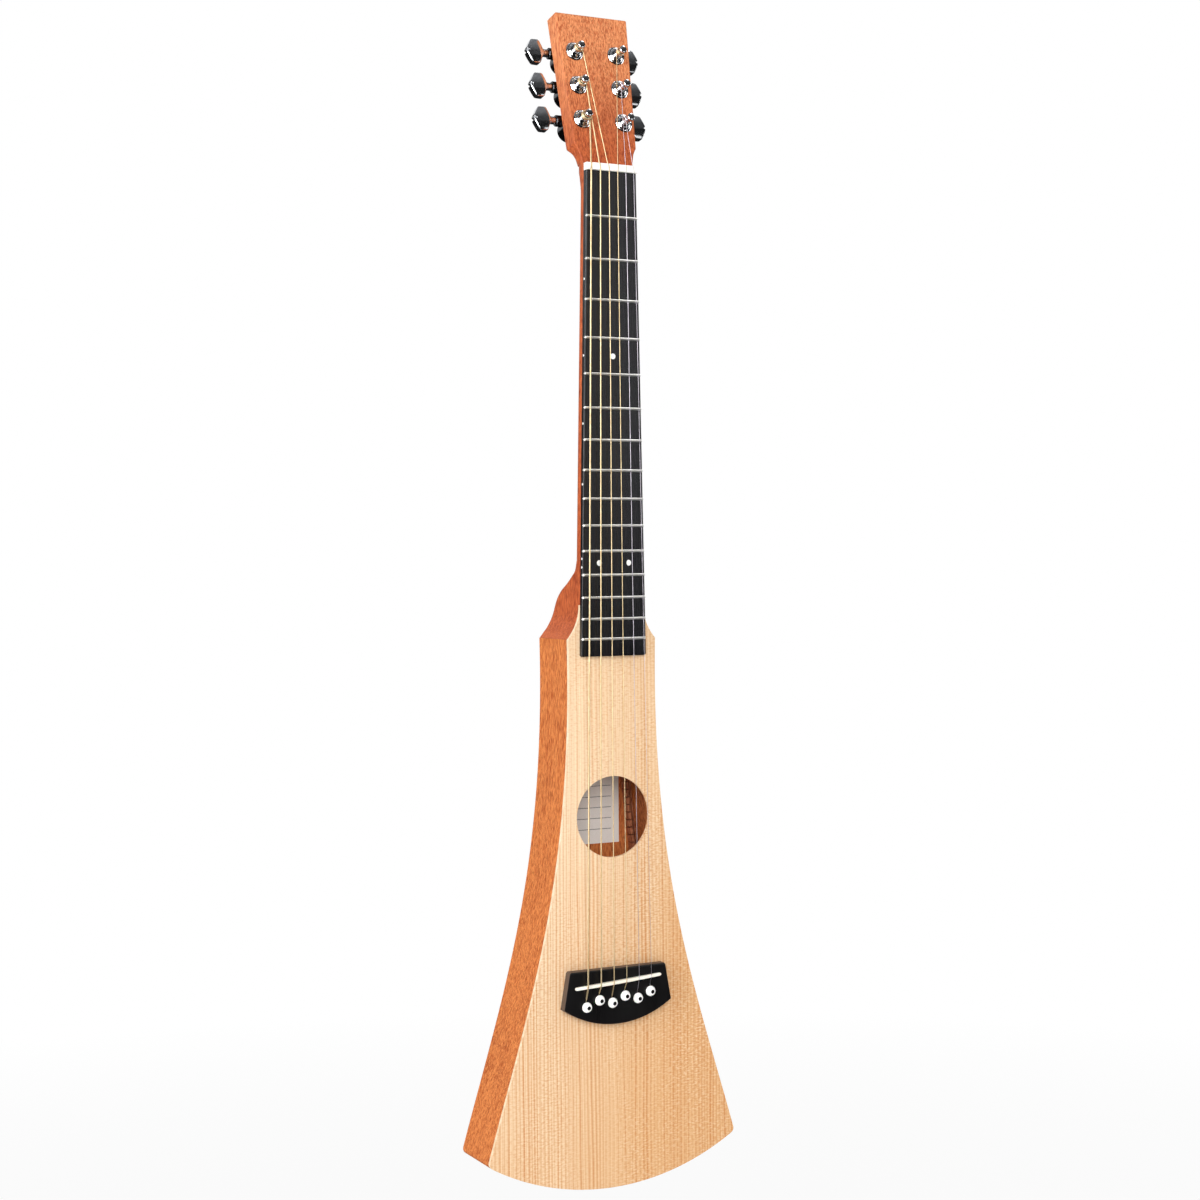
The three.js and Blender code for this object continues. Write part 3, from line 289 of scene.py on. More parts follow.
def tint(red, green, blue):
    """A colour as a paint chart gives it, 0 to 255, turned into the linear light a shader uses."""
    linear = []
    for value in (red, green, blue):
        share = value / 255
        linear.append(share / 12.92 if share <= 0.04045 else ((share + 0.055) / 1.055) ** 2.4)
    return (*linear, 1)


class Recipe:
    def __init__(self, name):
        self.material = bpy.data.materials.new(name)
        self.material.use_nodes = True
        self.tree = self.material.node_tree
        self.place = self.node("ShaderNodeTexCoord").outputs["Object"]

    def node(self, kind, sockets=None, **settings):
        return add_node(self.tree, kind, sockets, **settings)

    def noise(self, x, y, z, detail=2.0, roughness=0.5):
        """A noise on the object's coordinates, with so many cells to a metre along x, y and z."""
        cells = self.node("ShaderNodeMapping", {"Vector": self.place, "Scale": (x, y, z)}).outputs[0]
        sockets = {"Vector": cells, "Scale": 1.0, "Detail": detail, "Roughness": roughness}
        return self.node("ShaderNodeTexNoise", sockets).outputs["Fac"]

    def maths(self, operation, *values, clamp=False):
        return calculate(self.tree, operation, *values, clamp=clamp)

    def plus(self, *values, clamp=False):
        return self.maths("ADD", *values, clamp=clamp)

    def minus(self, *values):
        return self.maths("SUBTRACT", *values)

    def times(self, *values, clamp=False):
        return self.maths("MULTIPLY", *values, clamp=clamp)

    def remap(self, value, low, high, to_low=0.0, to_high=1.0, smooth=False):
        sockets = {"Value": value, "From Min": low, "From Max": high, "To Min": to_low, "To Max": to_high}
        kind = "SMOOTHSTEP" if smooth else "LINEAR"
        return self.node("ShaderNodeMapRange", sockets, interpolation_type=kind).outputs["Result"]

    def spread(self, noise, low, high):
        """The middle stretch of a noise, where nearly all of it lies, taken to a range."""
        return self.remap(noise, 0.3, 0.7, low, high)

    def mix(self, share, first, second):
        sockets = {0: share, 6: first, 7: second}
        return self.node("ShaderNodeMix", sockets, data_type="RGBA", clamp_factor=True).outputs[2]

    def axis(self, letter):
        return self.node("ShaderNodeSeparateXYZ", {"Vector": self.place}).outputs[letter]

    def bump(self, height, depth):
        sockets = {"Height": height, "Distance": depth, "Strength": 1.0}
        return self.node("ShaderNodeBump", sockets).outputs["Normal"]

    def finish(self, color, roughness, normal, **constants):
        """Links what varies to the shader and sets what is the same all over on its own sockets."""
        shader = self.tree.nodes["Principled BSDF"]
        for key, value in (("Base Color", color), ("Roughness", roughness), ("Normal", normal)):
            self.tree.links.new(value, shader.inputs[key])
        for key, value in constants.items():
            shader.inputs[key.replace("_", " ")].default_value = value
        return self.material


def describe(*materials):
    print("nodes:", {material.name: len(material.node_tree.nodes) for material in materials})


print("middle grey in linear light:", [round(value, 3) for value in tint(128, 128, 128)])

# %% [markdown]
# ## Spruce
# A soundboard is split so that the growth rings stand on edge and run as fine lines up the board.
# Each ring goes from pale early wood to a thin warm line and stops sharply, so a saw-tooth wave
# draws it better than a sine. A slow noise bends the lines a little and another changes how strong
# each of them is. Short bright flecks across the grain are the silk that quarter-sawn spruce shows.

# %% Spruce
ring_pitch = 3.1
fine_ring_pitch = 1.5
silk_pitch = 1.15


def ring_lines(recipe, distance, pitch, thin, sharp):
    """Late-wood lines of a given pitch, each with a strength of its own."""
    rings = recipe.plus(recipe.times(distance, PER_METRE / pitch), 100.0)
    across, number = recipe.maths("FRACT", rings), recipe.maths("FLOOR", rings)
    own = recipe.node("ShaderNodeTexWhiteNoise", {"W": number}, noise_dimensions="1D").outputs["Value"]
    rise = recipe.remap(across, thin, sharp, smooth=True)
    fall = recipe.remap(across, sharp, 1.0, 1.0, 0.0)
    return recipe.times(recipe.times(rise, fall), recipe.remap(own, 0, 1, 0.4, 1.0))


def spruce(name, early, falloff_amber, late, roughness):
    recipe = Recipe(name)
    plus, times, remap, spread = recipe.plus, recipe.times, recipe.remap, recipe.spread
    x, z = recipe.axis("X"), recipe.axis("Z")
    drift = times(recipe.minus(recipe.noise(16, 16, 2.6), 0.5), 0.012)
    squeeze = times(recipe.minus(recipe.noise(120, 30, 0.8, 1), 0.5), 0.0035)
    across = plus(x, plus(drift, squeeze))
    strong = ring_lines(recipe, across, ring_pitch, 0.3, 0.85)
    thin = times(ring_lines(recipe, across, fine_ring_pitch, 0.2, 0.8), 0.6)
    zone = plus(remap(recipe.noise(28, 20, 1.6), 0.35, 0.65, 0.85, 1.02), remap(x, 0.0, 0.07, 0, 0.45))
    zone = times(zone, remap(z, -0.44, -0.6, 0.62, 1.05))
    fibre = recipe.noise(2400, 900, 26, 3)
    lines = times(recipe.maths("MAXIMUM", strong, thin), zone)
    lines = plus(lines, spread(fibre, -0.16, 0.16), clamp=True)

    # Painted shade: the board turns darker and more amber towards the bottom and the treble side, as the light
    # falls off from the upper left; a slow noise adds the wood's own tone on top of it.
    lower, right = remap(z, -0.5, -0.74, 0, 0.5), remap(x, -0.05, 0.08, 0, 0.9)
    shade_falloff_and_tone = plus(plus(lower, right), spread(recipe.noise(14, 14, 5, 3), -0.16, 0.16), clamp=True)
    wood = recipe.mix(times(lines, 0.95), recipe.mix(shade_falloff_and_tone, early, falloff_amber), late)

    dash = recipe.noise(300, 300, PER_METRE / silk_pitch, roughness=0.6)
    where = plus(remap(recipe.noise(24, 24, 9), 0.4, 0.65, 0.3, 0.85), remap(x, -0.02, 0.08, 0, 0.45))
    fleck = times(remap(dash, 0.32, 0.68, -1, 1), where)
    wood = recipe.mix(times(fleck, 0.5, clamp=True), wood, early)
    wood = recipe.mix(times(fleck, -0.6, clamp=True), wood, late)

    gloss = recipe.minus(plus(roughness, times(lines, -0.07)), times(fleck, 0.04))
    normal = recipe.bump(plus(lines, times(fibre, 0.35)), 0.00004)
    return recipe.finish(wood, gloss, normal, Specular_IOR_Level=0.3)


# The second colour of each is the amber that the painted shade turns to towards the bottom and the treble side.
top_spruce = spruce("soundboard_spruce", tint(244, 221, 187), tint(228, 184, 134), tint(204, 136, 78), 0.5)
# The edge's paler colours are its end grain, and partly a painted highlight where the rounded edge catches the
# light.
edge_spruce = spruce("soundboard_edge", tint(236, 217, 187), tint(232, 205, 169), tint(212, 178, 136), 0.6)
brace_spruce = spruce("brace_spruce", tint(226, 196, 152), tint(214, 176, 124), tint(190, 144, 98), 0.7)

describe(top_spruce, edge_spruce, brace_spruce)

# %% [markdown]
# ## Mahogany
# Mahogany is told by its pores: short dark dashes along the grain. They are a noise stretched along
# the neck and cut off high, so that only its peaks are left. Under them lies ribbon figure, broad
# bands that turn light and dark, and a fine streak. The pores also go into the bump and dull the
# lacquer. The neck is a redder and darker piece than the sides, so one function makes both.

# %% Mahogany
pore_length = 5.5
pore_width = 0.5


def mahogany(name, light, dark, pore, roughness, pore_share=0.6, fade=None, foot=None):
    """Fade is the pair of colours that the wood turns to towards the top of the headstock, and foot
    the height, in millimetres, below which the end of the heel is lighter."""
    recipe = Recipe(name)
    plus, times, remap, spread = recipe.plus, recipe.times, recipe.remap, recipe.spread
    cell = PER_METRE / pore_width
    peaks = recipe.noise(cell, cell, PER_METRE / pore_length, 1.5, 0.55)
    gate = spread(recipe.noise(60, 60, 9), 0.61, 0.54)
    pores = remap(recipe.minus(peaks, gate), 0.0, 0.06, smooth=True)

    ribbon = recipe.noise(85, 70, 4, 3, 0.6)
    streak = recipe.noise(620, 420, 55, 3, 0.6)
    flame = recipe.noise(1100, 1100, 170, 3, 0.6)
    depth = plus(spread(ribbon, 0.18, 0.46), spread(streak, -0.38, 0.38))
    depth = plus(depth, remap(flame, 0.32, 0.68, -0.75, 0.75), clamp=True)
    wood = recipe.mix(depth, light, dark)
    if fade:
        up = remap(recipe.axis("Z"), 0.01, 0.1, smooth=True)
        wood = recipe.mix(up, wood, recipe.mix(depth, *fade))
    if foot:
        end = remap(recipe.axis("Z"), (foot + 0.8) * MM, foot * MM, smooth=True)
        wood = recipe.mix(times(end, 0.55), wood, light)
    wood = recipe.mix(times(pores, pore_share), wood, pore)

    gloss = plus(plus(roughness, times(pores, 0.25)), spread(ribbon, -0.04, 0.04))
    normal = recipe.bump(recipe.minus(times(streak, 0.3), pores), 0.00007)
    return recipe.finish(wood, gloss, normal, Specular_IOR_Level=0.25)


side_mahogany = mahogany("side_mahogany", tint(220, 134, 73), tint(164, 77, 34), tint(112, 47, 20), 0.5)
neck_mahogany = mahogany("neck_mahogany", tint(198, 102, 57), tint(148, 62, 33), tint(96, 36, 18), 0.45,
                         pore_share=0.45, fade=(tint(232, 150, 98), tint(184, 94, 53)), foot=-349.7)
back_mahogany = mahogany("back_mahogany", tint(218, 132, 74), tint(178, 88, 42), tint(118, 52, 22), 0.48)
plate_mahogany = mahogany("plate_mahogany", tint(196, 128, 92), tint(150, 88, 60), tint(104, 54, 34), 0.6)
describe(side_mahogany, neck_mahogany, back_mahogany, plate_mahogany)

# %% [markdown]
# ## Black boards
# The fingerboard and the bridge are a dense black board material, sanded along the neck and left
# satin. It isn't a flat black: faint lengthwise streaks and very fine sanding lines keep it alive.
# The bridge is blacker and a little smoother.

# %% Satin black
def satin_black(name, deep, worn, roughness):
    recipe = Recipe(name)
    streak = recipe.noise(420, 420, 9, 3, 0.6)
    sanding = recipe.noise(3800, 3800, 45)
    cloud = recipe.noise(28, 28, 11)
    share = recipe.plus(recipe.spread(streak, 0, 0.6), recipe.spread(cloud, 0, 0.4))
    gloss = recipe.plus(recipe.spread(cloud, roughness - 0.05, roughness + 0.05),
                        recipe.spread(sanding, -0.04, 0.04))
    normal = recipe.bump(recipe.plus(sanding, streak), 0.000025)
    return recipe.finish(recipe.mix(share, deep, worn), gloss, normal, Specular_IOR_Level=0.45)


board_black = satin_black("fingerboard_black", tint(12, 12, 15), tint(22, 22, 26), 0.28)
bridge_black = satin_black("bridge_black", tint(10, 9, 10), tint(20, 18, 19), 0.34)
# Painted reflection: a lighter brown copy of the bridge's satin black, which its sideways faces take.
bridge_edge = satin_black("bridge_edge", tint(66, 54, 46), tint(92, 76, 66), 0.5)
describe(board_black, bridge_black, bridge_edge)

# %% [markdown]
# ## Bone white, wire and plated metal
# The nut, the saddle and the pins are moulded white with a soft shine. The fret wire, the strings
# and the tuning machines are metals, so their base colour is the colour of their reflection. What
# makes metal look real is that its roughness is never even: there are smears on plating, draw marks
# along wire and a slight grey in the bronze.

# %% Whites
def moulded_white(name, pale, warm, roughness):
    recipe = Recipe(name)
    cloud = recipe.noise(160, 160, 160, 3)
    body = recipe.mix(recipe.remap(cloud, 0.3, 0.75), pale, warm)
    gloss = recipe.spread(cloud, roughness - 0.06, roughness + 0.06)
    normal = recipe.bump(recipe.noise(4200, 4200, 4200), 0.000012)
    return recipe.finish(body, gloss, normal, Subsurface_Weight=0.08, Subsurface_Scale=0.001)


nut_white = moulded_white("nut_white", tint(255, 254, 249), tint(250, 246, 236), 0.36)
saddle_white = moulded_white("saddle_white", tint(253, 249, 238), tint(247, 238, 218), 0.36)
pin_white = moulded_white("pin_white", tint(254, 253, 250), tint(250, 248, 243), 0.3)
dot_white = moulded_white("dot_white", tint(253, 252, 250), tint(244, 242, 238), 0.3)
describe(nut_white, saddle_white, pin_white, dot_white)

# %% Metals
def drawn_metal(name, bright, dull, roughness, smear, marks, metallic=1.0):
    """Wire or plating. Marks is how many fine marks lie on a metre along each axis."""
    recipe = Recipe(name)
    cloud = recipe.noise(240, 240, 240, 4, 0.6)
    lines = recipe.noise(*marks)
    metal = recipe.mix(recipe.remap(cloud, 0.35, 0.75), bright, dull)
    gloss = recipe.plus(recipe.spread(cloud, roughness, roughness + smear), recipe.spread(lines, 0, smear / 2))
    return recipe.finish(metal, gloss, recipe.bump(lines, 0.000004), Metallic=metallic)


fret_metal = drawn_metal("fret_wire", tint(254, 252, 248), tint(244, 241, 235), 0.28, 0.02,
                         (120, 2600, 2600), metallic=0.94)
chrome = drawn_metal("plated_chrome", tint(232, 234, 237), tint(214, 216, 220), 0.04, 0.05, (900, 900, 900))
# Painted shade: the cases' plating gets a dark grey base that stands in for the dark surroundings it mirrors.
case_chrome = drawn_metal("case_chrome", tint(92, 94, 98), tint(70, 71, 75), 0.14, 0.1, (700, 700, 700))
wound_bronze = drawn_metal("wound_bronze", tint(250, 228, 184), tint(232, 202, 150), 0.34, 0.14,
                           (5000, 5000, 900), metallic=0.94)
plain_steel = drawn_metal("plain_steel", tint(232, 224, 234), tint(206, 198, 210), 0.26, 0.1, (5000, 5000, 400))
ball_brass = drawn_metal("ball_brass", tint(224, 184, 104), tint(190, 146, 78), 0.25, 0.15, (2000, 2000, 2000))
rod_steel = drawn_metal("rod_steel", tint(122, 122, 126), tint(92, 90, 92), 0.4, 0.2, (3000, 3000, 60))
describe(fret_metal, chrome, case_chrome, wound_bronze, plain_steel, ball_brass, rod_steel)

# %% [markdown]
# ## Label
# Inside the body, seen through the soundhole, a paper label is glued to the back. It carries ruled
# lines only. They are worked out from the height on the sheet, one thin line at every step, and kept
# away from the sheet's edges.

# %% Label paper
label_right = 30.2
label_bottom = -516.5
label_width = 57
label_height = 92
rule_pitch = 8.5
rule_margin = 7


def label_paper():
    recipe = Recipe("label_paper")
    fibre = recipe.noise(900, 900, 1500, 4, 0.7)
    sheet = recipe.mix(recipe.spread(fibre, 0, 1), tint(254, 251, 246), tint(246, 242, 234))
    bottom = (label_bottom + rule_margin) * MM
    height = recipe.minus(recipe.axis("Z"), bottom)
    step = recipe.maths("FRACT", recipe.times(height, PER_METRE / rule_pitch))
    line = recipe.maths("COMPARE", step, 0.5, 0.03)
    left, right = (label_right - label_width + rule_margin) * MM, (label_right - rule_margin) * MM
    top = (label_bottom + label_height - rule_margin) * MM
    for letter, low, high in (("X", left, right), ("Z", bottom, top)):
        line = recipe.times(line, recipe.maths("GREATER_THAN", recipe.axis(letter), low))
        line = recipe.times(line, recipe.maths("LESS_THAN", recipe.axis(letter), high))
    # Painted shade: the sheet turns grey towards its top, where the rim of the soundhole shades it.
    painted_shade_share = recipe.remap(recipe.axis("Z"), -0.475, -0.425, 0, 0.5)
    sheet = recipe.mix(painted_shade_share, sheet, tint(178, 170, 160))
    ink = recipe.times(line, recipe.remap(fibre, 0.2, 0.5, 0.5, 0.9))
    color = recipe.mix(ink, sheet, tint(92, 88, 86))
    return recipe.finish(color, recipe.spread(fibre, 0.75, 0.9), recipe.bump(fibre, 0.00003))


paper = label_paper()
print("materials:", len(bpy.data.materials))

# %% [markdown]
# ## Sizes
# These are the instrument's driving sizes. Where a size can be read off the frame, it is: the height
# of a box, the place of a row of pins. The rest are the numbers a maker would write on the plan.

# %% Driving sizes
scale_length = 609.6
nut_width = 42.9
octave_width = 53.6
board_radius = 406.4
shoulder_width = 75
tail_width = 212.5
tail_sag = 29.8
string_count = 6
running_gap = 0.3


def node_box(name):
    """Lowest and highest corner of a frame node, in millimetres."""
    low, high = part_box(name)
    return low * PER_METRE, high * PER_METRE


board_low = node_box("fingerboard")[0]
board_thickness = -board_low.y
board_end = board_low.z
top_low, top_high = node_box("soundboard")
top_thickness = top_high.y
tail_end = top_low.z
cove_top = top_high.z
back_low, back_high = node_box("back")
back_seat = back_low.y
body_depth = back_high.y
shoulder_z = back_high.z
print(f"board {board_thickness:.1f} x {-board_end:.1f}, body depth {body_depth:.1f}, tail {tail_end:.1f}")


def board_half(z):
    """Half the fingerboard's width at a height z."""
    return (nut_width - (octave_width - nut_width) * z / (scale_length / 2)) / 2


def board_fall(x):
    """How far the fingerboard's round surface has fallen at a distance x from the middle."""
    return x * x / (2 * board_radius)


def fret_z(number):
    return -scale_length * (1 - 2 ** (-number / 12))


# %% [markdown]
# ## Helpers for shapes
# A shape here is a pair: a list of points in millimetres and a list of faces. Plates, lofts and
# turned shapes are all made that way and become an object in one place, `make_piece`, which welds
# the seams, turns the faces outwards and brings the points to metres. Each object stays at the
# origin, with its place in its mesh. `join` and `cut` are the glue and the saw: they add a shape to
# a piece and take one away.

# %% Making and baking pieces
def make_piece(name, shape, material=None):
    points, faces = shape
    mesh = bpy.data.meshes.new(name)
    mesh.from_pydata([Vector(point) * MM for point in points], [], faces)
    work = bmesh.new()
    work.from_mesh(mesh)
    bmesh.ops.remove_doubles(work, verts=work.verts, dist=0.002 * MM)
    bmesh.ops.dissolve_degenerate(work, edges=work.edges, dist=0.001 * MM)
    bmesh.ops.recalc_face_normals(work, faces=work.faces)
    work.to_mesh(mesh)
    work.free()
    if material:
        mesh.materials.append(material)
    return put(name, mesh)


def bake(piece):
    """Turns the modifiers' result into the piece's own plain mesh."""
    bpy.context.view_layer.update()
    graph = bpy.context.evaluated_depsgraph_get()
    solid = bpy.data.meshes.new_from_object(piece.evaluated_get(graph), depsgraph=graph)
    piece.modifiers.clear()
    piece.data = solid
    solid.name = piece.name
    return piece


def combine(piece, operation, shape, material=None):
    tool = make_piece("tool", shape, material)
    step = piece.modifiers.new(operation.lower(), "BOOLEAN")
    step.operation = operation
    step.solver = "EXACT"
    if material:
        step.material_mode = "TRANSFER"
    step.object = tool
    bake(piece)
    bpy.data.objects.remove(tool)


def join(piece, shape, material):
    """Joins a shape to a piece, as one solid in which each part keeps its material."""
    combine(piece, "UNION", shape, material)


def cut(piece, *shapes):
    """Cuts shapes out of a piece, one after the other."""
    for shape in shapes:
        combine(piece, "DIFFERENCE", shape)


def shade(piece, sharp=35, arris=0.0, segments=2):
    """Rounds the sharp edges by the arris, in millimetres, and shades flat faces flat."""
    piece.data.shade_smooth()
    if arris > 0:
        edge = piece.modifiers.new("arris", "BEVEL")
        edge.width = arris * MM
        edge.segments = segments
        edge.limit_method = "ANGLE"
        edge.angle_limit = math.radians(sharp)
        bake(piece).data.shade_smooth()
    piece.data.set_sharp_from_angle(angle=math.radians(sharp))
    piece.modifiers.new("even", "WEIGHTED_NORMAL").keep_sharp = True
    return bake(piece)


def settle(piece, body, slot, *nodes):
    """Hangs a finished piece on the body it rides on and hides the frame's nodes that it stands for.
    The slot is not used.
    """
    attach(piece, body)
    if nodes:
        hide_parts(*nodes)
    return piece


# %% Shapes from rings, profiles and outlines
def loft(rings):
    """Skin over rings of equally many points, with a cap at each end."""
    count = len(rings[0])
    points = [point for ring in rings for point in ring]
    faces = []
    last = len(points) - count
    for here in range(0, last, count):
        for i in range(count):
            j = (i + 1) % count
            faces.append((here + i, here + j, here + count + j, here + count + i))
    return points, faces + [tuple(range(count)), tuple(range(last, last + count))]


def turned(profile, steps):
    """A shape turned about the Z axis, from pairs of radius and height, with a cap at each end."""
    angles = [2 * math.pi * k / steps for k in range(steps)]
    return loft([[(radius * math.cos(a), radius * math.sin(a), height) for a in angles]
                 for radius, height in profile])


def bar(radius, start, end, steps=32, arris=0.0):
    """A round bar between two heights, with its edges broken by the arris if there is one."""
    low, high = min(start, end), max(start, end)
    if arris:
        inner = radius - arris
        return turned([(inner, low), (radius, low + arris), (radius, high - arris), (inner, high)], steps)
    return turned([(radius, low), (radius, high)], steps)


def block(low, high):
    """A block between two corners."""
    ring = [(low[0], low[2]), (high[0], low[2]), (high[0], high[2]), (low[0], high[2])]
    return loft([[(x, y, z) for x, z in ring] for y in (low[1], high[1])])


def mapped(shape, change):
    points, faces = shape
    return [change(Vector(point)) for point in points], faces


def merged(*shapes):
    points, faces = [], []
    for more_points, more_faces in shapes:
        start = len(points)
        points += list(more_points)
        faces += [tuple(start + i for i in face) for face in more_faces]
    return points, faces


def area_of(loop):
    pairs = zip(loop, loop[1:] + loop[:1])
    return sum(a[0] * b[1] - b[0] * a[1] for a, b in pairs) / 2


def inset_loop(loop, distance):
    """A closed outline moved to its left, which is into the wood where it runs anticlockwise."""
    moved = []
    for i, here in enumerate(loop):
        before = Vector(loop[i - 1])
        after = Vector(loop[(i + 1) % len(loop)])
        here = Vector(here)
        first = (here - before).normalized()
        second = (after - here).normalized()
        left_first = Vector((-first.y, first.x))
        left_second = Vector((-second.y, second.x))
        middle = (left_first + left_second).normalized()
        stretch = 1 / max(0.4, middle.dot(left_first))
        moved.append(tuple(here + middle * distance * stretch))
    return moved


def rounding(radius, steps=2):
    """The steps of a quarter round: how far in from the edge, and how far below the face."""
    turns = [math.pi / 2 * k / steps for k in range(steps + 1)]
    return [(radius * (1 - math.sin(a)), radius * (1 - math.cos(a))) for a in turns]


def plate(outline, holes, near, far, near_round=0.25, far_round=0.25):
    """A plate with rounded edges, from outlines in x and z, that runs from y = near to y = far."""
    outer = outline if area_of(outline) > 0 else outline[::-1]
    inner = [hole if area_of(hole) < 0 else hole[::-1] for hole in holes]
    loops = [outer, *inner]
    levels = [(inset, near + down) for inset, down in rounding(near_round)]
    levels += [(inset, far - down) for inset, down in reversed(rounding(far_round))]
    points, faces = [], []
    starts = []
    for inset, y in levels:
        row = []
        for loop in loops:
            row.append(len(points))
            points += [(x, y, z) for x, z in inset_loop(loop, inset)]
        starts.append(row)
    for upper, lower in zip(starts, starts[1:]):
        for loop, a, b in zip(loops, upper, lower):
            for i in range(len(loop)):
                j = (i + 1) % len(loop)
                faces.append((a + i, a + j, b + j, b + i))
    for (inset, _), row in ((levels[0], starts[0]), (levels[-1], starts[-1])):
        flat = [[Vector((x, z, 0)) for x, z in inset_loop(loop, inset)] for loop in loops]
        for triangle in tessellate_polygon(flat):
            faces.append(tuple(row[0] + i for i in triangle))
    return points, faces


def circle(x, z, radius, steps):
    turns = [2 * math.pi * k / steps for k in range(steps)]
    return [(x + radius * math.cos(a), z + radius * math.sin(a)) for a in turns]


def flowing(rows, place):
    """The values at a place between the given rows, on smooth curves that never overshoot."""
    keys = [row[0] for row in rows]
    if place <= keys[0]:
        return rows[0][1:]
    if place >= keys[-1]:
        return rows[-1][1:]
    low = max(k for k in range(len(keys) - 1) if keys[k] <= place)
    step = keys[low + 1] - keys[low]
    t = (place - keys[low]) / step

    def slope(k, column):
        return (rows[k + 1][column] - rows[k][column]) / (keys[k + 1] - keys[k])

    def tangent(k, column):
        if k == 0 or k == len(keys) - 1:
            return slope(min(k, len(keys) - 2), column)
        before, after = slope(k - 1, column), slope(k, column)
        return 0.0 if before * after <= 0 else 2 * before * after / (before + after)

    values = []
    for column in range(1, len(rows[0])):
        start, end = rows[low][column], rows[low + 1][column]
        leave, arrive = tangent(low, column) * step, tangent(low + 1, column) * step
        values.append((2 * t**3 - 3 * t**2 + 1) * start + (t**3 - 2 * t**2 + t) * leave
                      + (3 * t**2 - 2 * t**3) * end + (t**3 - t**2) * arrive)
    return values


print("faces of a bar with a broken edge:", len(bar(2, 0, 5, arris=0.5)[1]))

# %% [markdown]
# ## The body's outline
# The body is a paddle. A short round cove leads from the neck to the shoulder, one long curve flares
# to the tail, and the tail is an arc. One list of points for the treble half serves the soundboard,
# the back, the sides and the linings: they are the same line, moved inwards by a wall's thickness.

# %% Outline of the body
shoulder_half = shoulder_width / 2
tail_half = tail_width / 2
tail_corner_z = tail_end + tail_sag
tail_radius = (tail_half**2 + tail_sag**2) / (2 * tail_sag)
tail_centre = tail_end + tail_radius
tail_corner_round = 3.65
tail_joint_z = tail_corner_z + 11.2
cove_start = board_half(cove_top)
cove_out = shoulder_half - cove_start
cove_drop = cove_top - shoulder_z
cove_radius = (cove_out**2 + cove_drop**2) / (2 * cove_out)
first_handle_shares = (-0.065, 0.47)
last_handle_shares = (0.496, 0.295)


def cove_line(steps=14):
    """From the neck's side out to the shoulder, as an arc that leaves the neck smoothly."""
    sweep = math.asin(cove_drop / cove_radius)
    angles = [sweep * k / steps for k in range(steps + 1)]
    return [(cove_start + cove_radius * (1 - math.cos(a)), cove_top - cove_radius * math.sin(a))
            for a in angles]


def flare_line(steps=72):
    spread = tail_half - shoulder_half
    rise = shoulder_z - tail_corner_z
    top = Vector((shoulder_half, shoulder_z))
    corner = Vector((tail_half, tail_corner_z))
    first = top + Vector((first_handle_shares[0] * spread, -first_handle_shares[1] * rise))
    second = corner + Vector((-last_handle_shares[0] * spread, last_handle_shares[1] * rise))
    line = []
    for k in range(steps + 1):
        t = k / steps
        u = 1 - t
        line.append(u**3 * top + 3 * u * u * t * first + 3 * u * t * t * second + t**3 * corner)
    return line


def half_edge(distance=0.0, corner_round=tail_corner_round):
    """The treble half, from the shoulder to the middle of the tail, a distance inside the edge."""
    line = flare_line()
    moved = []
    for i, point in enumerate(line):
        along = (line[min(i + 1, len(line) - 1)] - line[max(i - 1, 0)]).normalized()
        moved.append(point + Vector((along.y, -along.x)) * distance)
    centre = Vector((0, tail_centre))
    radius = tail_radius - distance
    while (moved[-2] - centre).length > radius:
        moved.pop()
    last = moved.pop()
    inside = radius - (moved[-1] - centre).length
    outside = (last - centre).length - radius
    corner = moved[-1].lerp(last, inside / (inside + outside))
    while (moved[-1] - corner).length < corner_round:
        moved.pop()
    start = corner + (moved[-1] - corner).normalized() * corner_round
    corner_angle = math.asin(corner.x / radius) - corner_round / radius
    end = Vector((radius * math.sin(corner_angle), tail_centre - radius * math.cos(corner_angle)))
    if corner_round > 0:
        for k in range(8):
            t = k / 8
            moved.append((1 - t) ** 2 * start + 2 * t * (1 - t) * corner + t * t * end)
    for k in range(41):
        angle = corner_angle * (1 - k / 40)
        moved.append(Vector((radius * math.sin(angle), tail_centre - radius * math.cos(angle))))
    return [tuple(point) for point in moved]


def mirror(line):
    return [(-x, z) for x, z in reversed(line)]


def split_at(line, z):
    """A line cut in two at a height z: the stretch above and the stretch below."""
    after = next(i for i, point in enumerate(line) if point[1] < z)
    (x0, z0), (x1, z1) = line[after - 1], line[after]
    crossing = (x0 + (x1 - x0) * (z0 - z) / (z0 - z1), z)
    return line[:after] + [crossing], [crossing] + line[after:]


body_line = half_edge()
cove = cove_line()
print(f"tail arc radius {tail_radius:.1f} mm, {len(body_line)} points down one side")

# %% [markdown]
# ## Soundboard
# The spruce top is one plate with a soundhole and six pin holes. Its edges are broken by a quarter
# of a millimetre, as sandpaper leaves them. The cut edge shows the paler end of the same wood, and
# its paleness is partly a painted highlight where the rounded edge catches the light, so the faces
# that look sideways get a material of their own.

# %% Pins' places and soundboard
pin_places = []
for number in range(1, string_count + 1):
    low, high = node_box(f"bridge_pin_{number}")
    pin_places.append(((low.x + high.x) / 2, (low.z + high.z) / 2))
soundhole_z = -489.4
soundhole_radius = 31
pin_hole_radius = 2.9


def pin_holes(steps=20):
    return [circle(x, z, pin_hole_radius, steps) for x, z in pin_places]


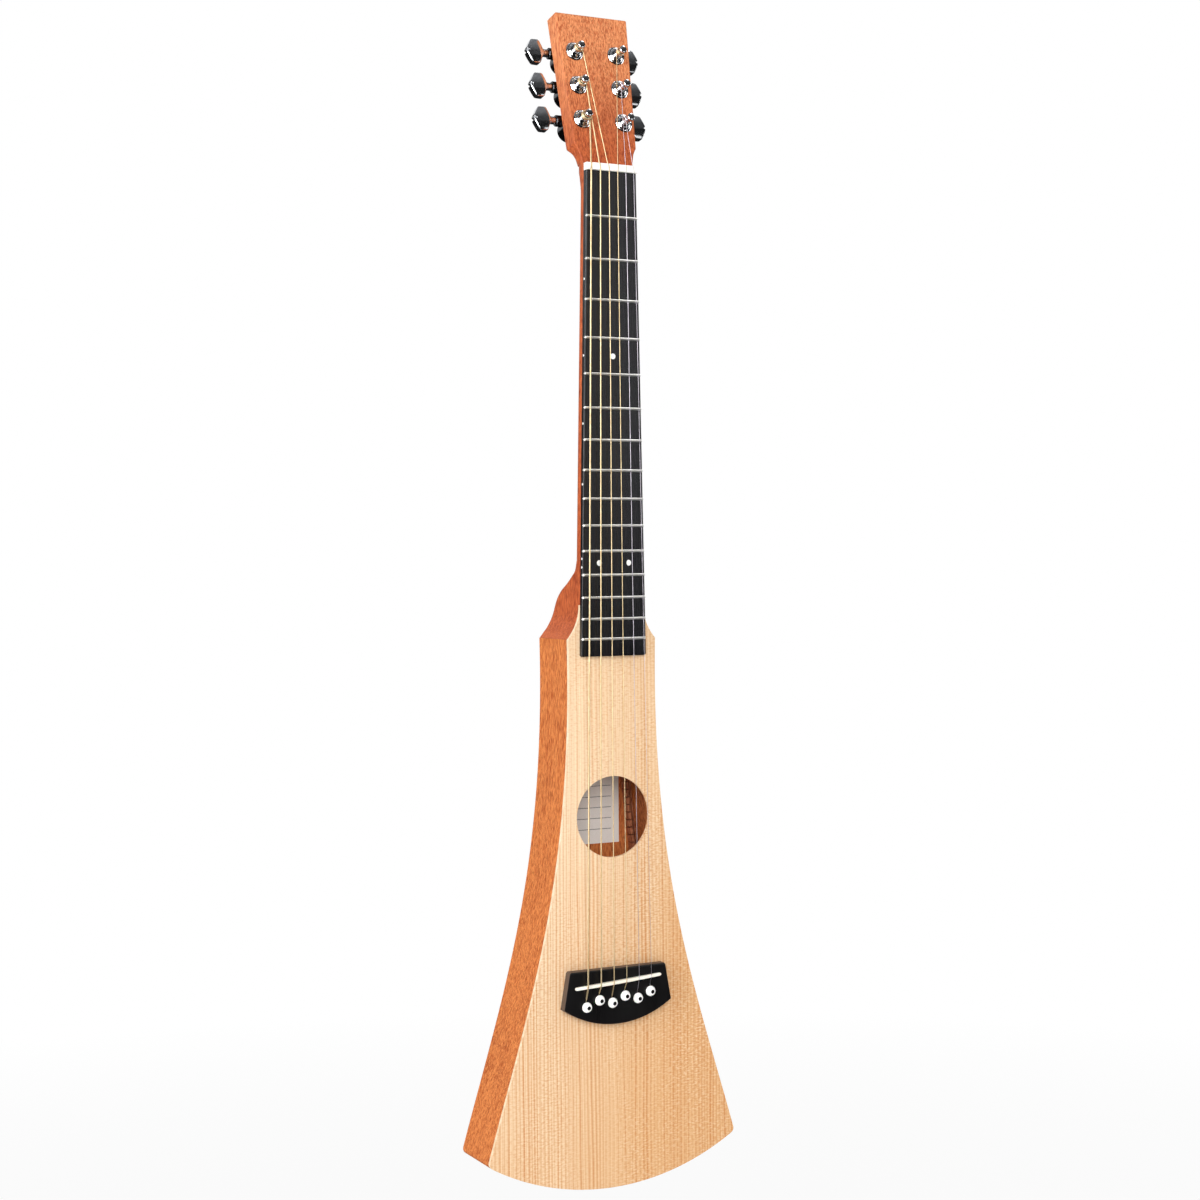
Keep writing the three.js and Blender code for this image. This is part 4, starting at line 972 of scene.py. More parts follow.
def make_soundboard():
    outline = cove[:-1] + body_line + mirror(body_line)[1:] + mirror(cove)[1:]
    holes = [circle(0, soundhole_z, soundhole_radius, 96), *pin_holes()]
    piece = make_piece("soundboard_top", plate(outline, holes, 0, top_thickness), top_spruce)
    piece.data.materials.append(edge_spruce)
    shade(piece)
    # Sideways faces outside the soundhole take the paler edge material: end grain, partly a painted highlight.
    for face in piece.data.polygons:
        in_hole = (face.center / MM - Vector((0, 0, soundhole_z))).length < soundhole_radius + 4
        if abs(face.normal.y) < 0.5 and not in_hole:
            face.material_index = 1
    return settle(piece, "guitar", "spruce", "soundboard")


soundboard = make_soundboard()
print("soundboard faces:", len(soundboard.data.polygons))

# %% [markdown]
# ## Back, sides and tail panel
# Two bent sides and a curved tail panel stand between top and back. They meet just above the tail
# corners. Each is an outline between the body's edge and the same line moved in by the wall.

# %% Back, sides and tail
side_thickness = 3.2
lining_width = 5
lining_height = 6.5
lining_start = shoulder_z - 42.3
tail_block_half = 32
tail_block_thickness = 14
joint_gap = 0.06


def wall_line(distance, part, below=0.0):
    """The body's edge moved in by a distance: part 0 above the tail's joint, or part 1 under it."""
    corner = 0 if distance else tail_corner_round
    return split_at(half_edge(distance, corner), tail_joint_z - below)[part]


def make_back():
    outline = body_line + mirror(body_line)[1:]
    piece = make_piece("back_plate", plate(outline, [], back_seat, body_depth, 0.15, 1.2), back_mahogany)
    return settle(shade(piece), "guitar", "mahogany", "back")


back = make_back()
print("back faces:", len(back.data.polygons))

# %% [markdown]
# ## Kerfed linings
# Along the inner corners runs a lining that is sawn nearly through at every step, so that it bends.
# This is a thing that repeats along a path, so Geometry Nodes make it: the path is resampled at the
# pitch of the saw cuts, and one small block is set on each point, turned along the path. A thin web
# behind the blocks holds them together, as the uncut wood does.

# %% A tree that sets blocks along a path
def node_tree(name, **kinds):
    """A geometry tree with inputs of these names and kinds. Gives the tree and its inputs' sockets."""
    tree = bpy.data.node_groups.new(name, "GeometryNodeTree")
    for label, kind in {"geometry": "Geometry", **kinds}.items():
        title = label.replace("_", " ").title()
        tree.interface.new_socket(title, in_out="INPUT", socket_type=f"NodeSocket{kind}")
    tree.interface.new_socket("Geometry", in_out="OUTPUT", socket_type="NodeSocketGeometry")
    return tree, tree.nodes.new("NodeGroupInput").outputs


def end_tree(tree, geometry, material):
    """Ends a tree: copies become real faces, and all of them get the material."""
    real = add_node(tree, "GeometryNodeRealizeInstances", {"Geometry": geometry})
    dressed = add_node(tree, "GeometryNodeSetMaterial", {"Geometry": real.outputs[0], "Material": material})
    add_node(tree, "NodeGroupOutput", {0: dressed.outputs[0]})
    return tree


def grow(piece, tree, **values):
    """Runs a tree on a piece with its inputs set, and keeps the result as a plain mesh."""
    step = piece.modifiers.new(tree.name, "NODES")
    step.node_group = tree
    for socket in tree.interface.items_tree:
        key = socket.name.lower().replace(" ", "_")
        if socket.in_out == "INPUT" and key in values:
            step[socket.identifier] = values[key]
    return bake(piece)


def spaced_path(tree, mesh, step):
    """The tree's line of edges as a curve with points at an even step."""
    path = add_node(tree, "GeometryNodeMeshToCurve", {"Mesh": mesh}).outputs[0]
    return add_node(tree, "GeometryNodeResampleCurve", {"Curve": path, "Length": step}, mode="LENGTH").outputs[0]


def blocks_on_path_tree():
    tree, get = node_tree("kerfed_lining", pitch="Float", block="Object", wood="Material")
    tangent = add_node(tree, "GeometryNodeInputTangent").outputs[0]
    turned_along = add_node(tree, "FunctionNodeAlignRotationToVector", {"Vector": tangent}, axis="X",
                            pivot_axis="Y")
    shape = add_node(tree, "GeometryNodeObjectInfo", {"Object": get["Block"]}).outputs["Geometry"]
    stood = add_node(tree, "GeometryNodeInstanceOnPoints",
                     {"Points": spaced_path(tree, get["Geometry"], get["Pitch"]), "Instance": shape,
                      "Rotation": turned_along.outputs[0]})
    return end_tree(tree, stood.outputs[0], get["Wood"])


lining_tree = blocks_on_path_tree()
print("nodes in the lining's tree:", len(lining_tree.nodes))

# %% Linings, sides and tail panel
kerf_pitch = 6.0
kerf_width = 0.9
web_thickness = 1.0
wall_arris = 0.12
web_reach = side_thickness + web_thickness
block_middle = web_reach + (lining_width - web_thickness) / 2


def kerf_block(turn_over):
    """One block between two saw cuts: its inner lower edge is planed off at a slant."""
    half = (kerf_pitch - kerf_width) / 2
    deep = (lining_width - web_thickness) / 2
    tall = lining_height / 2
    section = [(-deep, -tall), (deep, -tall), (deep, tall * 0.1), (deep * 0.35, tall), (-deep, tall)]
    piece = make_piece("kerf_block", loft([[(x, y, z) for z, y in section] for x in (-half, half)]))
    for vertex in piece.data.vertices:
        vertex.co.y *= turn_over
    return piece


def path_piece(name, points):
    """A line of edges in millimetres, as a mesh that a tree can turn into a curve."""
    mesh = bpy.data.meshes.new(name)
    edges = [(i, i + 1) for i in range(len(points) - 1)]
    mesh.from_pydata([Vector(point) * MM for point in points], edges, [])
    return put(name, mesh)


def linings(strip, line):
    """Under the top and over the back: a web with this outline, and blocks along this line."""
    extras = []
    for near, turn_over in ((top_thickness, 1), (back_seat - lining_height, -1)):
        web = plate(strip, [], near, near + lining_height, 0.1, 0.1)
        row = path_piece("kerfed_lining", [(x, near + lining_height / 2, z) for x, z in line])
        pattern = kerf_block(turn_over)
        grow(row, lining_tree, pitch=kerf_pitch * MM, block=pattern, wood=plate_mahogany)
        bpy.data.objects.remove(pattern)
        extras += [make_piece("web", web, plate_mahogany), row]
    return extras


def absorb(piece, *others):
    """Puts the other pieces' meshes into a piece as closed shells of their own."""
    work = bmesh.new()
    work.from_mesh(piece.data)
    for other in others:
        names = [material.name for material in piece.data.materials]
        moves = []
        for material in other.data.materials:
            if material and material.name not in names:
                piece.data.materials.append(material)
                names.append(material.name)
            moves.append(names.index(material.name) if material else 0)
        start = len(work.faces)
        work.from_mesh(other.data)
        work.faces.ensure_lookup_table()
        for face in work.faces[start:]:
            face.material_index = moves[face.material_index] if moves else 0
        bpy.data.objects.remove(other)
    bmesh.ops.recalc_face_normals(work, faces=work.faces)
    work.to_mesh(piece.data)
    work.free()


def on_side(sign, line):
    return [(sign * x, z) for x, z in line]


def make_side(name, sign, node):
    """One side with its linings. The outline is the treble one, mirrored for the bass side."""
    outline = on_side(sign, wall_line(0, 0) + wall_line(side_thickness, 0)[::-1])
    wall = plate(outline, [], top_thickness, back_seat, wall_arris, wall_arris)
    piece = make_piece(name, wall, side_mahogany)
    outer, inner = (split_at(wall_line(distance, 0), lining_start)[1]
                    for distance in (side_thickness, web_reach))
    line = split_at(wall_line(block_middle, 0, -2), lining_start - 3)[1]
    absorb(piece, *linings(on_side(sign, outer + inner[::-1]), on_side(sign, line)))
    return settle(shade(piece), "guitar", "mahogany", node)


def make_tail():
    outer, inner = wall_line(0, 1, joint_gap), wall_line(side_thickness, 1, joint_gap)
    outline = outer + mirror(outer)[1:] + mirror(inner)[::-1] + inner[::-1][1:]
    wall = plate(outline, [], top_thickness, back_seat, wall_arris, wall_arris)
    piece = make_piece("tail_board", wall, side_mahogany)
    reach = tail_end + side_thickness
    heart = block((-tail_block_half, top_thickness, reach + 0.6),
                  (tail_block_half, back_seat, reach + tail_block_thickness))
    extras = [make_piece("tail_block", heart, plate_mahogany)]
    line = [point for point in wall_line(block_middle, 1, 4) if point[0] > tail_block_half + 4]
    outer, inner = ([point for point in wall_line(distance, 1, joint_gap) if point[0] > tail_block_half + 1]
                    for distance in (side_thickness, web_reach))
    for sign in (1, -1):
        extras += linings(on_side(sign, outer + inner[::-1]), on_side(sign, line))
    absorb(piece, *extras)
    return settle(shade(piece), "guitar", "mahogany", "tail_panel")


side_treble = make_side("treble_side", 1, "side_treble")
side_bass = make_side("bass_side", -1, "side_bass")
tail_panel = make_tail()
print("side faces:", len(side_treble.data.polygons), "tail faces:", len(tail_panel.data.polygons))

# %% [markdown]
# ## Neck, heel and headstock
# The neck is one long piece of wood. A carver gets its shape by moving slowly from one cross section
# to the next, and a loft does the same: flat on top, upright for a few millimetres, then a round
# back. The heel deepens the section until it is as deep as the body. Behind the nut the section
# widens, loses its roundness and leans back with the headstock.

# %% Sections of the neck
head_tilt = math.radians(12.5)
head_drop = 1.7
nut_thickness = 5.6
heel_length = 60
keel = 1.2
depth_at_nut, depth_at_heel = 15.4, 20
shoulder_at_nut, shoulder_at_heel = 2.3, 3.5
head_length = 121.3
head_thickness = 15
volute_depth = 3.0
volute_length = 16
volute_square = 0.5
head_lower_half, head_top_half = 26.3, 30.7
head_start, head_straight, head_end_round = 0.3, 18.0, 0.6
head_back_round = 1.2
section_steps = 18


def from_head(point):
    """A point of the headstock's frame (x, up the face, out of it) in the guitar's frame."""
    x, up, out = point
    return Vector((x, head_drop + up * math.sin(head_tilt) - out * math.cos(head_tilt),
                   nut_thickness + up * math.cos(head_tilt) + out * math.sin(head_tilt)))


def section(half, bottom, side_round, back_round, arris=0.04, top=0.0):
    """Half-width and depth pairs, once round, from the treble corner of the top."""
    right = [(half - arris, top), (half, top + arris)]
    for k in range(section_steps + 1):
        angle = math.pi / 2 * k / section_steps
        right.append((half - side_round * (1 - math.cos(angle)), bottom - back_round * (1 - math.sin(angle))))
    return right + [(-x, y) for x, y in reversed(right)]


def ease(share):
    share = max(0.0, min(1.0, share))
    return share * share * (3 - 2 * share)


def neck_half(z):
    """Half the width of neck and heel: the board's width, and the cove's arc below it."""
    if z >= cove_top:
        return board_half(z)
    return cove_start + cove_radius - math.sqrt(max(0, cove_radius**2 - (cove_top - z) ** 2))


heel_shares = [
    (0.0, 1, 0.045, 0.1), (0.075, 1, 0.055, 0.115), (0.095, 0.995, 0.09, 0.15), (0.16, 0.99, 0.14, 0.22),
    (0.26, 0.965, 0.2, 0.31), (0.38, 0.935, 0.27, 0.42), (0.5, 0.835, 0.33, 0.52), (0.6, 0.66, 0.4, 0.61),
    (0.69, 0.395, 0.5, 0.68), (0.775, 0.185, 0.62, 0.75), (0.87, 0.035, 0.85, 0.9), (1, 0, 1, 1),
]


def heel_rings(steps=60):
    rings = []
    own_round = depth_at_heel - shoulder_at_heel
    for k in range(steps):
        along = k / steps
        deep, side_share, back_share = flowing(heel_shares, along)
        z = shoulder_z + 0.12 + along * heel_length
        half = neck_half(z)
        bottom = depth_at_heel + deep * (body_depth - depth_at_heel)
        ring = section(half, bottom, (half - keel) * side_share, own_round * back_share)
        rings.append([(x, y, z) for x, y in ring])
    return rings


def run_rings(steps=40):
    rings = []
    start = shoulder_z + heel_length
    for k in range(steps + 1):
        share = k / steps
        z = start * (1 - share)
        half = board_half(z)
        bottom = depth_at_heel + (depth_at_nut - depth_at_heel) * share + volute_depth * ease(1 + z / volute_length)
        shoulder = shoulder_at_heel + (shoulder_at_nut - shoulder_at_heel) * share
        side_round = (half - keel) * (1 - volute_square * ease(1 + z / volute_length))
        rings.append([(x, y, z) for x, y in section(half, bottom, side_round, bottom - shoulder)])
    half = nut_width / 2
    deepest = depth_at_nut + volute_depth
    last = section(half, deepest, (half - keel) * (1 - volute_square), deepest - shoulder_at_nut)
    return rings + [[(x, y, nut_thickness) for x, y in last]]


# Up the face, half width, roundness of the back corner, share of the tilt, swelling at the back
head_rows = [
    (head_start, nut_width / 2, 9.4, 0.0, 2.9),
    (3.7, 22.0, 8.9, 0.3, 1.9),
    (7.2, 22.7, 8.2, 0.55, 1.0),
    (11.1, 23.75, 6.6, 0.8, 0.45),
    (14.6, 25.5, 3.3, 0.98, 0.05),
    (15.9, head_lower_half, 1.5, 1.0, 0),
    (head_straight, head_lower_half + 0.1, head_back_round, 1.0, 0),
    (head_length - head_end_round, head_top_half, head_back_round, 1.0, 0),
]


def head_ring(up, arris=0.5, shrink=0.0):
    half, round_side, tilt_share, swell = flowing(head_rows, up)
    lean = head_tilt * (1 - tilt_share)
    round_back = min(round_side * (1 + 0.67 * (1 - tilt_share)), head_thickness + swell - shoulder_at_nut)
    flat = section(half - shrink, head_thickness + swell - shrink, round_side, round_back, arris, shrink)
    return [from_head((x, up + y * math.tan(lean), -y)) for x, y in flat]


def head_rings():
    straight_end = head_length - head_end_round
    flare = [head_start + (head_straight - head_start) * k / 26 for k in range(27)]
    straight = [head_straight + (straight_end - head_straight) * k / 8 for k in range(1, 9)]
    rings = [head_ring(up) for up in flare + straight]
    end = head_ring(straight_end, shrink=0.5)
    lift = Vector((0, math.sin(head_tilt), math.cos(head_tilt))) * head_end_round
    return rings + [[point + lift for point in end]]


print("rings from heel to head:", len(heel_rings()), len(run_rings()), len(head_rings()))

# %% Neck
heel_block_length = 42
rod_low, rod_high = node_box("neck_rod")
sleeve_radius = 4.9
machine_out, machine_low, machine_pitch = 17.8, 35.6, 27.45
# Cutters reach past the wood by this much
past = 3


def tuner_place(number):
    """Side, x and height of a tuner. 1 to 3 go up the bass side, 4 to 6 down the treble side."""
    side = -1 if number <= 3 else 1
    row = number - 1 if side < 0 else 6 - number
    return side, side * machine_out, machine_low + machine_pitch * row


def on_post(number):
    """A change from a tuner's own frame, about its post, to the guitar's frame."""
    _, x, up = tuner_place(number)
    return lambda point: from_head((x + point.x, up + point.y, point.z))


def make_neck():
    piece = make_piece("neck_and_headstock", loft(heel_rings() + run_rings() + head_rings()), neck_mahogany)
    inner = shoulder_half - side_thickness - 2 * running_gap
    heel_block = block((-inner, top_thickness, shoulder_z - heel_block_length),
                       (inner, back_seat, shoulder_z + 2))
    join(piece, heel_block, neck_mahogany)
    half = rod_high.x + running_gap / 2
    bore = bar(sleeve_radius + running_gap, -head_thickness - 2, 2)
    cut(piece,
        block((-tail_half, -past, shoulder_z - past), (tail_half, top_thickness, cove_top)),
        block((-half, -past, rod_low.z - running_gap), (half, rod_high.y + running_gap, rod_high.z + running_gap)),
        merged(*[mapped(bore, on_post(number)) for number in range(1, string_count + 1)]))
    return settle(shade(piece, sharp=28), "guitar", "mahogany", "neck")


neck = make_neck()
print("neck faces:", len(neck.data.polygons))

# %% [markdown]
# ## Fingerboard
# The board is crowned like a slice of a large cylinder and widens towards the body. It is a loft
# whose top follows the crown, with one saw slot cut for every fret, as on the bench.

# %% Fingerboard
fret_count = 15
crown_steps = 24
board_arris = 1.1
saw_half_width = 0.3
saw_depth = 1.7


def board_ring(z, inset=0.0):
    half = board_half(z) - inset
    right = [(half, 0)]
    for k in range(4):
        angle = math.pi / 2 * k / 3
        x = half - board_arris * (1 - math.cos(angle))
        right.append((x, -board_thickness + board_fall(x) + board_arris * (1 - math.sin(angle)) + inset))
    across = [(half - board_arris) * (1 - 2 * k / crown_steps) for k in range(1, crown_steps)]
    crown = [(x, -board_thickness + board_fall(x) + inset) for x in across]
    return [(x, y, z) for x, y in right + crown + [(-x, y) for x, y in reversed(right)]]


def saw_cut(z):
    half = board_half(z) + 2
    floor = -board_thickness + board_fall(half) + saw_depth
    return block((-half, -board_thickness - 2, z - saw_half_width), (half, floor, z + saw_half_width))


def make_fingerboard():
    stations = [(0, 0.0), (board_end + board_arris, 0.0), (board_end, board_arris * 0.7)]
    piece = make_piece("crowned_fingerboard", loft([board_ring(z, inset) for z, inset in stations]), board_black)
    cut(piece, merged(*[saw_cut(fret_z(number)) for number in range(1, fret_count + 1)]))
    return settle(shade(piece, sharp=40), "guitar", "fingerboard_black", "fingerboard")


fingerboard = make_fingerboard()
print("fingerboard faces:", len(fingerboard.data.polygons))

# %% [markdown]
# ## Frets
# The fret places follow one rule: each is closer to the last by the twelfth root of two. So a tree
# of nodes can place all fifteen from the scale length. It sets points by the rule, puts one unit
# fret on each, stretches it to the board's width there, and then bends it over the crown.

# %% Fret wire by rule
fret_crown_width = 2.0
fret_crown_height = 1.1
fret_tang_width = 0.55
fret_tang_depth = 1.6
fret_foot = 0.02
fret_end_slope = 0.035


def unit_fret():
    """A fret that reaches from -1 to 1 across, with its ends filed at a slant."""
    angles = [math.pi * k / 8 for k in range(9)]
    crown = [(fret_crown_width / 2 * math.cos(a), -fret_foot - (fret_crown_height - fret_foot) * math.sin(a))
             for a in angles]
    tang = [(fret_tang_width / 2, fret_tang_depth), (fret_tang_width / 2, -fret_foot)]
    profile = tang + crown + [(-z, y) for z, y in reversed(tang)]
    rings = []
    for k in range(25):
        x = -1 + k / 12
        ring = []
        for z, y in profile:
            reach = 1 - fret_end_slope * max(0, -y / fret_crown_height) ** 1.5
            ring.append((max(-reach, min(reach, x)) / MM, y, z))
        rings.append(ring)
    return make_piece("fret_wires", loft(rings))


def stand_copies(tree, get, x, y, z, size=(1, 1, 1)):
    """The tree's own geometry on each of its Count points, whose places follow a rule."""
    spot = add_node(tree, "ShaderNodeCombineXYZ", {"X": x, "Y": y, "Z": z}).outputs[0]
    points = add_node(tree, "GeometryNodePoints", {"Count": get["Count"], "Position": spot}).outputs[0]
    sockets = {"Points": points, "Instance": get["Geometry"], "Scale": size}
    return add_node(tree, "GeometryNodeInstanceOnPoints", sockets).outputs[0]


def fret_tree():
    tree, get = node_tree("frets_by_rule", count="Int", scale_length="Float", nut_width="Float",
                          octave_width="Float", end_inset="Float", board_top="Float", board_radius="Float",
                          wire="Material")
    maths = partial(calculate, tree)
    index = add_node(tree, "GeometryNodeInputIndex").outputs[0]
    octaves = maths("DIVIDE", maths("ADD", index, 1.0), -12.0)
    left_over = maths("SUBTRACT", 1.0, maths("POWER", 2.0, octaves))
    z = maths("MULTIPLY", maths("MULTIPLY", left_over, get["Scale Length"]), -1.0)
    gain = maths("MULTIPLY", maths("SUBTRACT", get["Octave Width"], get["Nut Width"]),
                 maths("MULTIPLY", left_over, 2.0))
    half = maths("SUBTRACT", maths("MULTIPLY", maths("ADD", get["Nut Width"], gain), 0.5), get["End Inset"])
    size = add_node(tree, "ShaderNodeCombineXYZ", {"X": half, "Y": 1.0, "Z": 1.0}).outputs[0]
    set_down = stand_copies(tree, get, 0.0, get["Board Top"], z, size)
    real = add_node(tree, "GeometryNodeRealizeInstances", {"Geometry": set_down}).outputs[0]
    place = add_node(tree, "GeometryNodeInputPosition").outputs[0]
    across = add_node(tree, "ShaderNodeSeparateXYZ", {0: place}).outputs["X"]
    fall = maths("DIVIDE", maths("MULTIPLY", across, across), maths("MULTIPLY", get["Board Radius"], 2.0))
    down = add_node(tree, "ShaderNodeCombineXYZ", {"Y": fall}).outputs[0]
    bent = add_node(tree, "GeometryNodeSetPosition", {"Geometry": real, "Offset": down})
    return end_tree(tree, bent.outputs[0], get["Wire"])


frets = grow(unit_fret(), fret_tree(), count=fret_count, scale_length=scale_length * MM,
             nut_width=nut_width * MM, octave_width=octave_width * MM, end_inset=running_gap * MM,
             board_top=-board_thickness * MM, board_radius=board_radius * MM, wire=fret_metal)
settle(shade(frets, sharp=50), "guitar", "fret_wire",
       *[f"fret_{number:02d}" for number in range(1, fret_count + 1)])
print("fret wire faces:", len(frets.data.polygons))

# %% [markdown]
# ## Position dots
# Small white discs are let into the face at the fifth and twelfth frets, and smaller ones into the
# edge that the player sees. Each is a shallow turned button that stands a hair proud of the board.

# %% Dots
face_dot_radius = 2.2
side_dot_radius = 0.95
dot_depth = 1.2
dot_proud = 0.05
face_dot_out = 12.5
double_dot_gap = 6.5


def between_frets(number):
    """Half-way between a fret and the one before it."""
    return (fret_z(number - 1) + fret_z(number)) / 2


def disc(radius, steps=24):
    return turned([(radius, -dot_depth), (radius, dot_proud * 0.4), (radius * 0.86, dot_proud)], steps)


def face_dot(x, z):
    top = -board_thickness + board_fall(x)
    return mapped(disc(face_dot_radius), lambda p: Vector((x + p.x, top - p.z, z + p.y)))


def side_dot(z):
    out, height = board_half(z), -board_thickness * 0.5
    return mapped(disc(side_dot_radius, 16), lambda p: Vector((-out - p.z, height + p.x, z + p.y)))


def make_dots():
    octave = between_frets(12)
    shapes = [face_dot(0.0, between_frets(5)), face_dot(-face_dot_out, octave), face_dot(face_dot_out, octave)]
    shapes += [side_dot(between_frets(number)) for number in (3, 5, 7, 9)]
    shapes += [side_dot(octave + double_dot_gap / 2), side_dot(octave - double_dot_gap / 2)]
    piece = make_piece("position_dots", merged(*shapes), dot_white)
    return settle(shade(piece, sharp=60), "guitar", "nut_white")


dots = make_dots()
print("dot faces:", len(dots.data.polygons))

# %% [markdown]
# ## Where the strings run
# Every string starts at its ball under the bridge plate, comes up beside its pin, bends over the
# saddle, runs to the nut and winds round its post. The turns on the post are a helix worked out from
# the post's own place, and they leave it on the line that just touches the nut slot.

# %% String paths
string_diameters = [1.35, 1.07, 0.81, 0.61, 0.41, 0.3]
wound_count = 4
string_spread_at_nut = 36.5
winding_turns = [2, 2.5, 3, 3, 3, 3]
winding_gap = 0.05
winding_top = 9.95
post_waist = 2.5
saddle_slant = math.radians(3.55)
saddle_z = -614.65
saddle_height = 9.7
bridge_thickness = 6.6
string_gap = 0.18
nut_slot_height = 5.9
pin_shaft_radius = 2.6
pin_head_radius = 3.95
bridge_plate_y = top_thickness + 3
bend_radius = 1.6


def nut_places():
    """Strings sit in the nut with equal gaps between their sides."""
    ends = (string_diameters[0] + string_diameters[-1]) / 2
    gap = (string_spread_at_nut - (sum(string_diameters) - ends)) / (string_count - 1)
    places = [-string_spread_at_nut / 2]
    for before, after in zip(string_diameters, string_diameters[1:]):
        places.append(places[-1] + gap + (before + after) / 2)
    return places


nut_x = nut_places()


def nut_y(index):
    return -nut_slot_height + board_fall(nut_x[index]) - string_diameters[index] / 2


def coil(index, steps=40):
    """The turns on the post, from the point where the string touches it."""
    side, x, up = tuner_place(index + 1)
    radius = string_diameters[index] / 2
    coil_radius = post_waist + running_gap + radius
    down = nut_y(index) - head_drop
    nut_up = down * math.sin(head_tilt) + -nut_thickness * math.cos(head_tilt)
    dx, du = nut_x[index] - x, nut_up - up
    start = math.atan2(du, dx) - side * math.acos(coil_radius / math.hypot(dx, du))
    rise = string_diameters[index] + winding_gap
    lowest = winding_top - string_diameters[index] - winding_turns[index] * rise
    points = []
    for k in range(int(winding_turns[index] * steps) + 1):
        angle = start - side * 2 * math.pi * k / steps
        points.append(from_head((x + coil_radius * math.cos(angle), up + coil_radius * math.sin(angle),
                                 lowest + radius + rise * k / steps)))
    return points


def eased(points, radius):
    """The same path with each bend drawn as a short curve."""
    path = [points[0]]
    for before, here, after in zip(points, points[1:], points[2:]):
        back, on = before - here, after - here
        reach = min(radius, back.length * 0.45, on.length * 0.45)
        start, end = here + back.normalized() * reach, here + on.normalized() * reach
        for k in range(7):
            t = k / 6
            path.append((1 - t) ** 2 * start + 2 * t * (1 - t) * here + t * t * end)
    return path + [points[-1]]


def string_exit(index):
    """The line of a string beside its pin, and the y and z at which it leaves the bridge."""
    radius = string_diameters[index] / 2
    z = pin_places[index][1]
    groove = z + pin_shaft_radius + running_gap - string_gap - radius
    return groove, -bridge_thickness + radius + string_gap, z + pin_head_radius + 2 * string_gap


def string_path(index):
    x = pin_places[index][0]
    groove, exit_y, exit_z = string_exit(index)
    over = -saddle_height + board_fall(x) - string_diameters[index] / 2 - string_gap
    turns = coil(index)
    run = [Vector((x, bridge_plate_y + running_gap, groove)), Vector((x, exit_y + exit_z - groove, groove)),
           Vector((x, exit_y, exit_z)), Vector((x, over, saddle_z + x * math.tan(saddle_slant))),
           Vector((nut_x[index], nut_y(index), 0)), turns[0]]
    return eased(run, bend_radius)[:-1] + turns


print("points along the strings:", [len(string_path(index)) for index in range(string_count)])

# %% [markdown]
# ## Strings
# The four low strings are wound: a thin bronze wrap goes round a steel core, so their side is a row
# of small ridges. Another tree draws them. It resamples the path at half the pitch of the wrap and
# makes every second ring a little thinner. The two high strings are plain wire, with no ridges.

# %% Strings along their paths
wrap_pitch = 0.6
plain_step = 1.0
wrap_groove = 0.13
string_sides = 8
ball_radius = 1.7
ball_length = 2.6


def string_tree():
    tree, get = node_tree("string_on_path", radius="Float", ring_step="Float", groove="Float", sides="Int",
                          metal="Material")
    index = add_node(tree, "GeometryNodeInputIndex").outputs[0]
    loss = calculate(tree, "MULTIPLY", calculate(tree, "MODULO", index, 2.0), get["Groove"])
    full = calculate(tree, "SUBTRACT", 1.0, loss)
    ring = add_node(tree, "GeometryNodeCurvePrimitiveCircle", {"Resolution": get["Sides"], "Radius": get["Radius"]})
    tube = add_node(tree, "GeometryNodeCurveToMesh",
                    {"Curve": spaced_path(tree, get["Geometry"], get["Ring Step"]),
                     "Profile Curve": ring.outputs[0], "Scale": full, "Fill Caps": True})
    return end_tree(tree, tube.outputs[0], get["Metal"])


def make_string(index, tree):
    number = index + 1
    kind, metal, slot, step, groove = "plain", plain_steel, "string_steel", plain_step / 2, 0.0
    if index < wound_count:
        kind, metal, slot, step, groove = "wound", wound_bronze, "string_bronze", wrap_pitch / 2, wrap_groove
    piece = path_piece(f"string_{number}_{kind}", string_path(index))
    grow(piece, tree, radius=string_diameters[index] / 2 * MM, ring_step=step * MM, groove=groove,
         sides=string_sides, metal=metal)
    ball = turned([(ball_radius * 0.8, 0), (ball_radius, 0.3), (ball_radius * 0.78, ball_length / 2),
                   (ball_radius, ball_length - 0.3), (ball_radius * 0.8, ball_length)], 20)
    x, z = pin_places[index]
    ball_y, ball_z = bridge_plate_y + running_gap, z + pin_shaft_radius + running_gap + ball_radius
    seated = mapped(ball, lambda p: Vector((x + p.x, ball_y + p.z, ball_z + p.y)))
    absorb(piece, make_piece("ball", seated, ball_brass))
    return settle(shade(piece, sharp=70), "guitar", slot, f"string_{number}")


wrap_tree = string_tree()
strings = [make_string(index, wrap_tree) for index in range(string_count)]
print("string faces:", [len(piece.data.polygons) for piece in strings])

# %% [markdown]
# ## Nut
# The nut is a small white block across the end of the fingerboard. Its top follows the board's crown,
# and each string has its own slot, which slopes down towards its post.

# %% Nut
nut_top = 7.0
nut_side_drop = 0.5
nut_foot = -0.05


def channel(start, end, index, top):
    """A cutter that clears a string between two points and everything above it."""
    room = string_diameters[index] / 2 + string_gap
    rings = []
    for point in (start, end):
        ring = [(point.x - room, top, point.z)]
        for k in range(9):
            angle = math.pi * k / 8
            ring.append((point.x - room * math.cos(angle), point.y + room * math.sin(angle), point.z))
        rings.append(ring + [(point.x + room, top, point.z)])
    return loft(rings)


